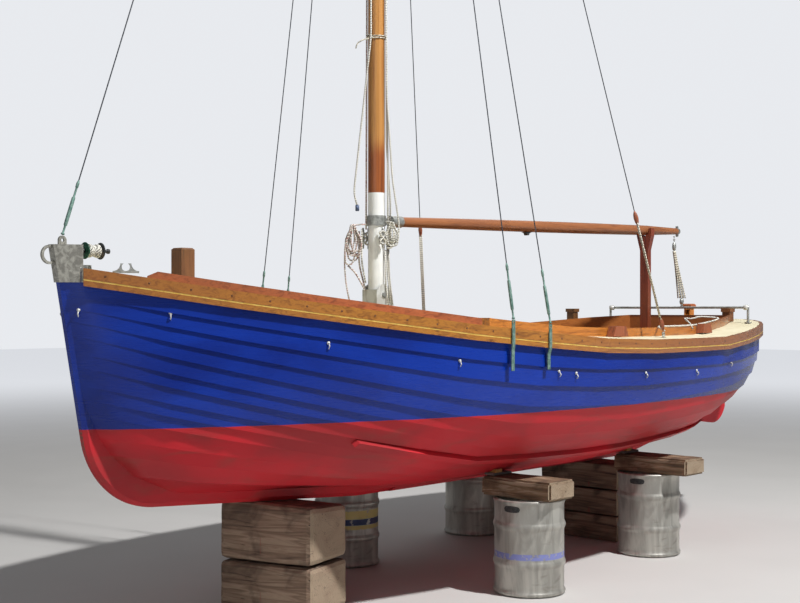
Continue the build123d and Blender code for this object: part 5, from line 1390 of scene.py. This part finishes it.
@dataclass
class Supports:
    """Timber and kegs under the boat, worn and uneven."""

    maker: Maker
    nodes: dict[str, bpy.types.Object]
    bow_turn: float = 15
    baulk_edge: float = 0.055
    plank_edge: float = 0.05
    keg_radius: float = 0.204
    keg_wall: float = 0.1955
    keg_height: float = 0.532
    keg_hoops: tuple[float, ...] = (0.178, 0.386)
    keg_sides: int = 72
    hole_swing: float = 0.26
    hole_rise: float = 0.018
    hole_down: float = 0.047

    def rough_baulk(self, name: str, node: str, turn: float, seed: int, corner: float) -> None:
        """Wears one squared timber: broken edges and shallow hollows.

        Args:
            name: the piece's name.
            node: the CAD node that it stands for.
            turn: degrees that the timber is turned about Z.
            seed: what makes its wear differ.
            corner: how far the edges are broken.
        """
        shape = welded(self.nodes[node])
        bmesh.ops.dissolve_limit(shape, angle_limit=0.02, verts=shape.verts, edges=shape.edges)
        middle = sum((vert.co for vert in shape.verts), Vector()) / len(shape.verts)
        local = Matrix.Translation(middle) @ Matrix.Rotation(math.radians(turn), 4, "Z")
        bmesh.ops.transform(shape, matrix=local.inverted(), verts=shape.verts)
        bmesh.ops.bevel(shape, geom=list(shape.edges), offset=corner, segments=2, affect="EDGES", profile=0.5)
        split_long(shape, self.baulk_edge)
        for vert in shape.verts:
            stretched = Vector((vert.co.x * 9, vert.co.y * 3.2, vert.co.z * 9))
            broad = noise.noise(stretched + Vector((seed * 7.3, 0, 0)))
            fine = noise.noise(vert.co * 34 + Vector((0, seed, 0)))
            vert.co -= vert.normal * (0.002 + 0.0045 * (broad + 0.6) + 0.0015 * (fine + 0.5))
        piece = self.maker.mesh(name, shape, Finish.TIMBER, Slot.TIMBER, smooth=False, replaces=(node,))
        piece.matrix_world = local

    def sleepers(self) -> None:
        """Wears the four sleepers, each from its own solid."""
        for index, (low, high) in enumerate(self.boxes("sleepers")):
            self.plank(f"sleeper_{index + 1}", (high + low) / 2, high - low, Finish.TIMBER_AFT,
                       index + 20, 0.012, () if index else ("sleepers",))

    def packing(self) -> None:
        """Lays a board and a wedge on each sleeper."""
        for index, (low, high) in enumerate(self.boxes("packing")):
            size, middle = high - low, (high + low) / 2
            board = Vector((size.x, size.y, max(0.010, size.z * 0.32)))
            place = Vector((middle.x, middle.y, low.z + board.z / 2))
            self.plank(f"packing_board_{index + 1}", place, board, Finish.SLATE, index + 40, 0.002,
                       () if index else ("packing",))
            wedge = Vector((size.x * 0.34, size.y * 0.8, max(0.012, size.z * 0.5)))
            inner = 1 if middle.y > 0 else -1
            place = Vector((middle.x + size.x * 0.18, middle.y + inner * size.y * 0.1,
                            low.z + board.z + wedge.z / 2))
            self.plank(f"packing_wedge_{index + 1}", place, wedge, Finish.WEDGE, index + 50, 0.002)

    def boxes(self, node: str) -> list[tuple[Vector, Vector]]:
        """Lowest and highest corner of each separate solid of a node.

        Args:
            node: the node's name.

        Returns:
            The corners, from starboard to port and from aft forward.
        """
        found = [(Vector([min(axis) for axis in zip(*places)]), Vector([max(axis) for axis in zip(*places)]))
                 for places in solids(self.nodes[node])]
        return sorted(found, key=lambda box: (round(box[0].y, 3), round(box[0].x, 3)))

    def plank(self, name: str, middle: Vector, size: Vector, finish: Finish, seed: int,
              corner: float, replaces: Sequence[str] = ()) -> None:
        """Worn board in line with the row's axes.

        Args:
            name: the piece's name.
            middle: its middle.
            size: its three lengths.
            finish: its material.
            seed: what makes its wear differ.
            corner: how far its edges are broken.
            replaces: CAD nodes that it stands for.
        """
        shape = bmesh.new()
        bmesh.ops.create_cube(shape, size=1.0)
        bmesh.ops.scale(shape, vec=size, verts=shape.verts)
        bmesh.ops.bevel(shape, geom=list(shape.edges), offset=corner, segments=2, affect="EDGES")
        split_long(shape, self.plank_edge)
        depth = min(0.006, min(size) * 0.12)
        for vert in shape.verts:
            worn = noise.noise(vert.co * 8 + Vector((seed * 5.1, 0, 0)))
            vert.co -= vert.normal * depth * (worn * 0.5 + 0.4)
        piece = self.maker.mesh(name, shape, finish, Slot.TIMBER, smooth=False, replaces=replaces)
        piece.matrix_world = Matrix.Translation(middle)

    def keg(self, name: str, aft: float, y: float, finish: Finish, turn: float,
            replaces: Sequence[str] = ()) -> None:
        """Presses one keg: rolled hoops, chimes, a dished top, and dark patches of painted shade for its hand
        holes.

        Args:
            name: the piece's name.
            aft: metres aft of the stem.
            y: metres to port.
            finish: its material.
            turn: degrees of its hand holes.
            replaces: CAD nodes that it stands for.
        """
        form = Form()
        form.rings([ring(Vector((0, 0, height)), Vector((1, 0, 0)), Vector((0, 1, 0)), radius, self.keg_sides)
                    for height, radius in self.keg_profile()])
        stand = Matrix.Translation((fore(aft), y, 0))
        self.maker.mesh(name, form, finish, Slot.KEG_METAL, replaces=replaces).matrix_world = stand
        # The hand holes are dark strips just proud of the wall: painted shade standing for the openings.
        holes = Form()
        steps, reach, height = 10, self.keg_wall + 0.0012, self.keg_height - self.hole_down
        for side in (0, 180):
            verts = []
            for k in range(-steps, steps + 1):
                swing = math.radians(turn + side) + self.hole_swing * k / steps
                lift = self.hole_rise * (1 - abs(k / steps) ** 3) ** (1 / 3)
                verts += [Vector((math.cos(swing) * reach, math.sin(swing) * reach, height + part))
                          for part in (-lift, lift)]
            holes.add(verts, [(2 * k, 2 * k + 2, 2 * k + 3, 2 * k + 1) for k in range(2 * steps)])
        dark = self.maker.mesh(f"{name}_hand_hole_shade", holes, Finish.DARK, Slot.DARK_PLASTIC)
        dark.matrix_world = stand

    def keg_profile(self) -> list[tuple[float, float]]:
        """Profile of a keg, from its foot over its rim to the neck.

        Returns:
            The rings' heights and radii, in order.
        """
        wall, hoop = self.keg_wall, self.keg_radius
        profile = [(0.0, wall - 0.012), (0.004, wall + 0.001), (0.010, hoop - 0.002), (0.018, hoop),
                   (0.024, hoop - 0.003), (0.034, wall - 0.001), (0.05, wall)]
        for centre in self.keg_hoops:
            rise = ((0.026, wall), (0.016, wall + 0.0035), (0.007, hoop - 0.0008))
            profile += [(centre - away, radius) for away, radius in rise] + [(centre, hoop)]
            profile += [(centre + away, radius) for away, radius in reversed(rise)]
        top = ((0.05, wall), (0.03, wall + 0.0005), (0.016, hoop - 0.003), (0.008, hoop),
               (0.002, hoop - 0.004), (0, wall - 0.004), (0.006, wall - 0.012), (0.06, wall - 0.016),
               (0.072, wall - 0.04), (0.066, 0.06), (0.060, 0.03))
        return profile + [(self.keg_height - down, radius) for down, radius in top]

    def build(self) -> None:
        """Makes all of the supports."""
        self.rough_baulk("worn_bow_baulk_lower", "bow_baulk_lower", self.bow_turn, 1, 0.03)
        self.rough_baulk("worn_bow_baulk_upper", "bow_baulk_upper", self.bow_turn, 2, 0.034)
        for number in (1, 2, 3):
            self.rough_baulk(f"worn_aft_baulk_{number}", f"aft_baulk_{number}", 0, 3 + number, 0.010)
        self.sleepers()
        self.packing()
        self.keg("keg_port_fore", 2.590, 0.770, Finish.KEG_BLUE, 7, ("port_kegs",))
        self.keg("keg_port_aft", 4.040, 0.655, Finish.KEG, 9)
        self.keg("keg_starboard_fore", 2.470, -0.560, Finish.KEG_BANDED, 150, ("starboard_kegs",))
        self.keg("keg_starboard_aft", 3.860, -0.680, Finish.KEG, 140)


@dataclass(frozen=True)
class Lamp:
    """One square lamp, placed as the camera stands to the boat's middle."""

    name: str
    right: float
    near: float
    up: float
    size: float
    power: float

    def hang(self, aim: Vector) -> None:
        """Hangs the lamp.

        Args:
            aim: the place that it points at and is measured from.
        """
        data = bpy.data.lights.new(self.name, "AREA")
        data.shape = "SQUARE"
        data.size = self.size
        data.energy = self.power
        piece = link(self.name, data)
        place = aim + PICTURE_RIGHT * self.right + PICTURE_NEAR * self.near + Vector((0, 0, self.up))
        piece.location = place
        piece.rotation_euler = (aim - place).to_track_quat("-Z", "Y").to_euler()


@dataclass
class Studio:
    """Plain pale floor, soft lamps and the photograph's camera."""

    eye_aft: float = -3.2
    eye_y: float = 5.1
    eye_height: float = 1.592
    focal_pixels: float = 1276.5
    picture_width: float = 800.0
    sensor_width: float = 36.0
    horizon_down: float = 7.1
    lit_height: float = 1.2
    lamps: tuple[Lamp, ...] = (
        Lamp("key", 4.8, 4.3, 9.2, 0.45, 1750),
        Lamp("fill", -4.0, 9.0, 2.5, 6.0, 75),
        Lamp("back", 0.0, -7.0, 6.0, 5.0, 120),
    )
    sky_light: float = 0.17
    sky_seen: float = 0.86
    sky_colour: Colour = (0.94, 0.96, 1.0, 1.0)
    floor_reach: float = 40.0
    floor_glow_reach: tuple[float, float] = (5.0, 22.0)

    def camera(self) -> None:
        """Stands the camera where the photograph was taken."""
        data = bpy.data.cameras.new("camera")
        data.sensor_width = self.sensor_width
        data.lens = self.sensor_width * self.focal_pixels / self.picture_width
        data.shift_y = self.horizon_down / self.picture_width
        data.clip_end = 100
        piece = link("camera", data)
        piece.location = (fore(self.eye_aft), self.eye_y, self.eye_height)
        piece.rotation_euler = (math.pi / 2, 0, math.atan2(PICTURE_NEAR.x, -PICTURE_NEAR.y))
        bpy.context.scene.camera = piece

    def world(self) -> None:
        """Gives a pale sky that lights softly and shows white."""
        sky = bpy.data.worlds.new("studio")
        bpy.context.scene.world = sky
        sky.use_nodes = True
        tree = Tree(sky.node_tree)
        seen = tree.node("ShaderNodeLightPath").outputs["Is Camera Ray"]
        strength = tree.node("ShaderNodeMapRange", {}, {0: seen, 3: self.sky_light, 4: self.sky_seen})
        ground = sky.node_tree.nodes["Background"]
        tree.feed(ground.inputs["Strength"], strength.outputs[0])
        tree.feed(ground.inputs["Color"], self.sky_colour)

    def floor(self) -> None:
        """Lays the pale floor, which glows with painted light far away so that it fades into the sky."""
        data = bpy.data.meshes.new("floor")
        reach = self.floor_reach
        corners = ((-reach, -reach, 0), (reach, -reach, 0), (reach, reach, 0), (-reach, reach, 0))
        data.from_pydata(corners, [], [(0, 1, 2, 3)])
        shader = Shader("floor")
        tone = shader.noise((1.5, 1.5, 1.5), 3.0)
        colour = shader.mix(tone, srgb(188, 186, 183), srgb(196, 194, 191))
        away = (shader.x * shader.x + shader.y * shader.y).root()
        # Painted glow: the floor emits a pale light that grows with distance from the middle.
        far = shader.mix(away.rise(*self.floor_glow_reach), (0, 0, 0, 1), (0.60, 0.62, 0.66, 1))
        data.materials.append(shader.finish(base_color=colour, roughness=0.9, emission_color=far,
                                            emission_strength=1.0))
        link("floor", data)

    def build(self) -> None:
        """Sets up the studio."""
        bpy.context.scene.view_settings.view_transform = "Standard"
        self.camera()
        for lamp in self.lamps:
            lamp.hang(Vector((0, 0, self.lit_height)))
        self.world()
        self.floor()


def main() -> None:
    """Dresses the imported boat, piece by piece."""
    logging.basicConfig(level=logging.INFO, format="%(name)s %(message)s")
    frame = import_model()
    nodes = frame["nodes"]
    Studio().build()
    maker = Maker()
    hull = HullDressing(maker, nodes)
    hull.paint()
    hull.fair()
    lines = HullLines(nodes["rub_band"])
    hull.gilt_line(lines)
    hull.plugs(lines)
    hull.hull_eyes()
    standing = Standing(maker, nodes)
    standing.screws()
    standing.tackles()
    MastWork(maker).build()
    foredeck = Foredeck(maker)
    foredeck.drum()
    foredeck.line()
    surface = Surface([nodes[name] for name in ("deck", "coaming", "coaming_chocks")])
    after = AfterDeck(maker, surface)
    after.mainsheet()
    after.mooring_line()
    after.horse_stops()
    Supports(maker, nodes).build()
    log.info("%d pieces made", len(maker.made))


if __name__ == "__main__":
    main()
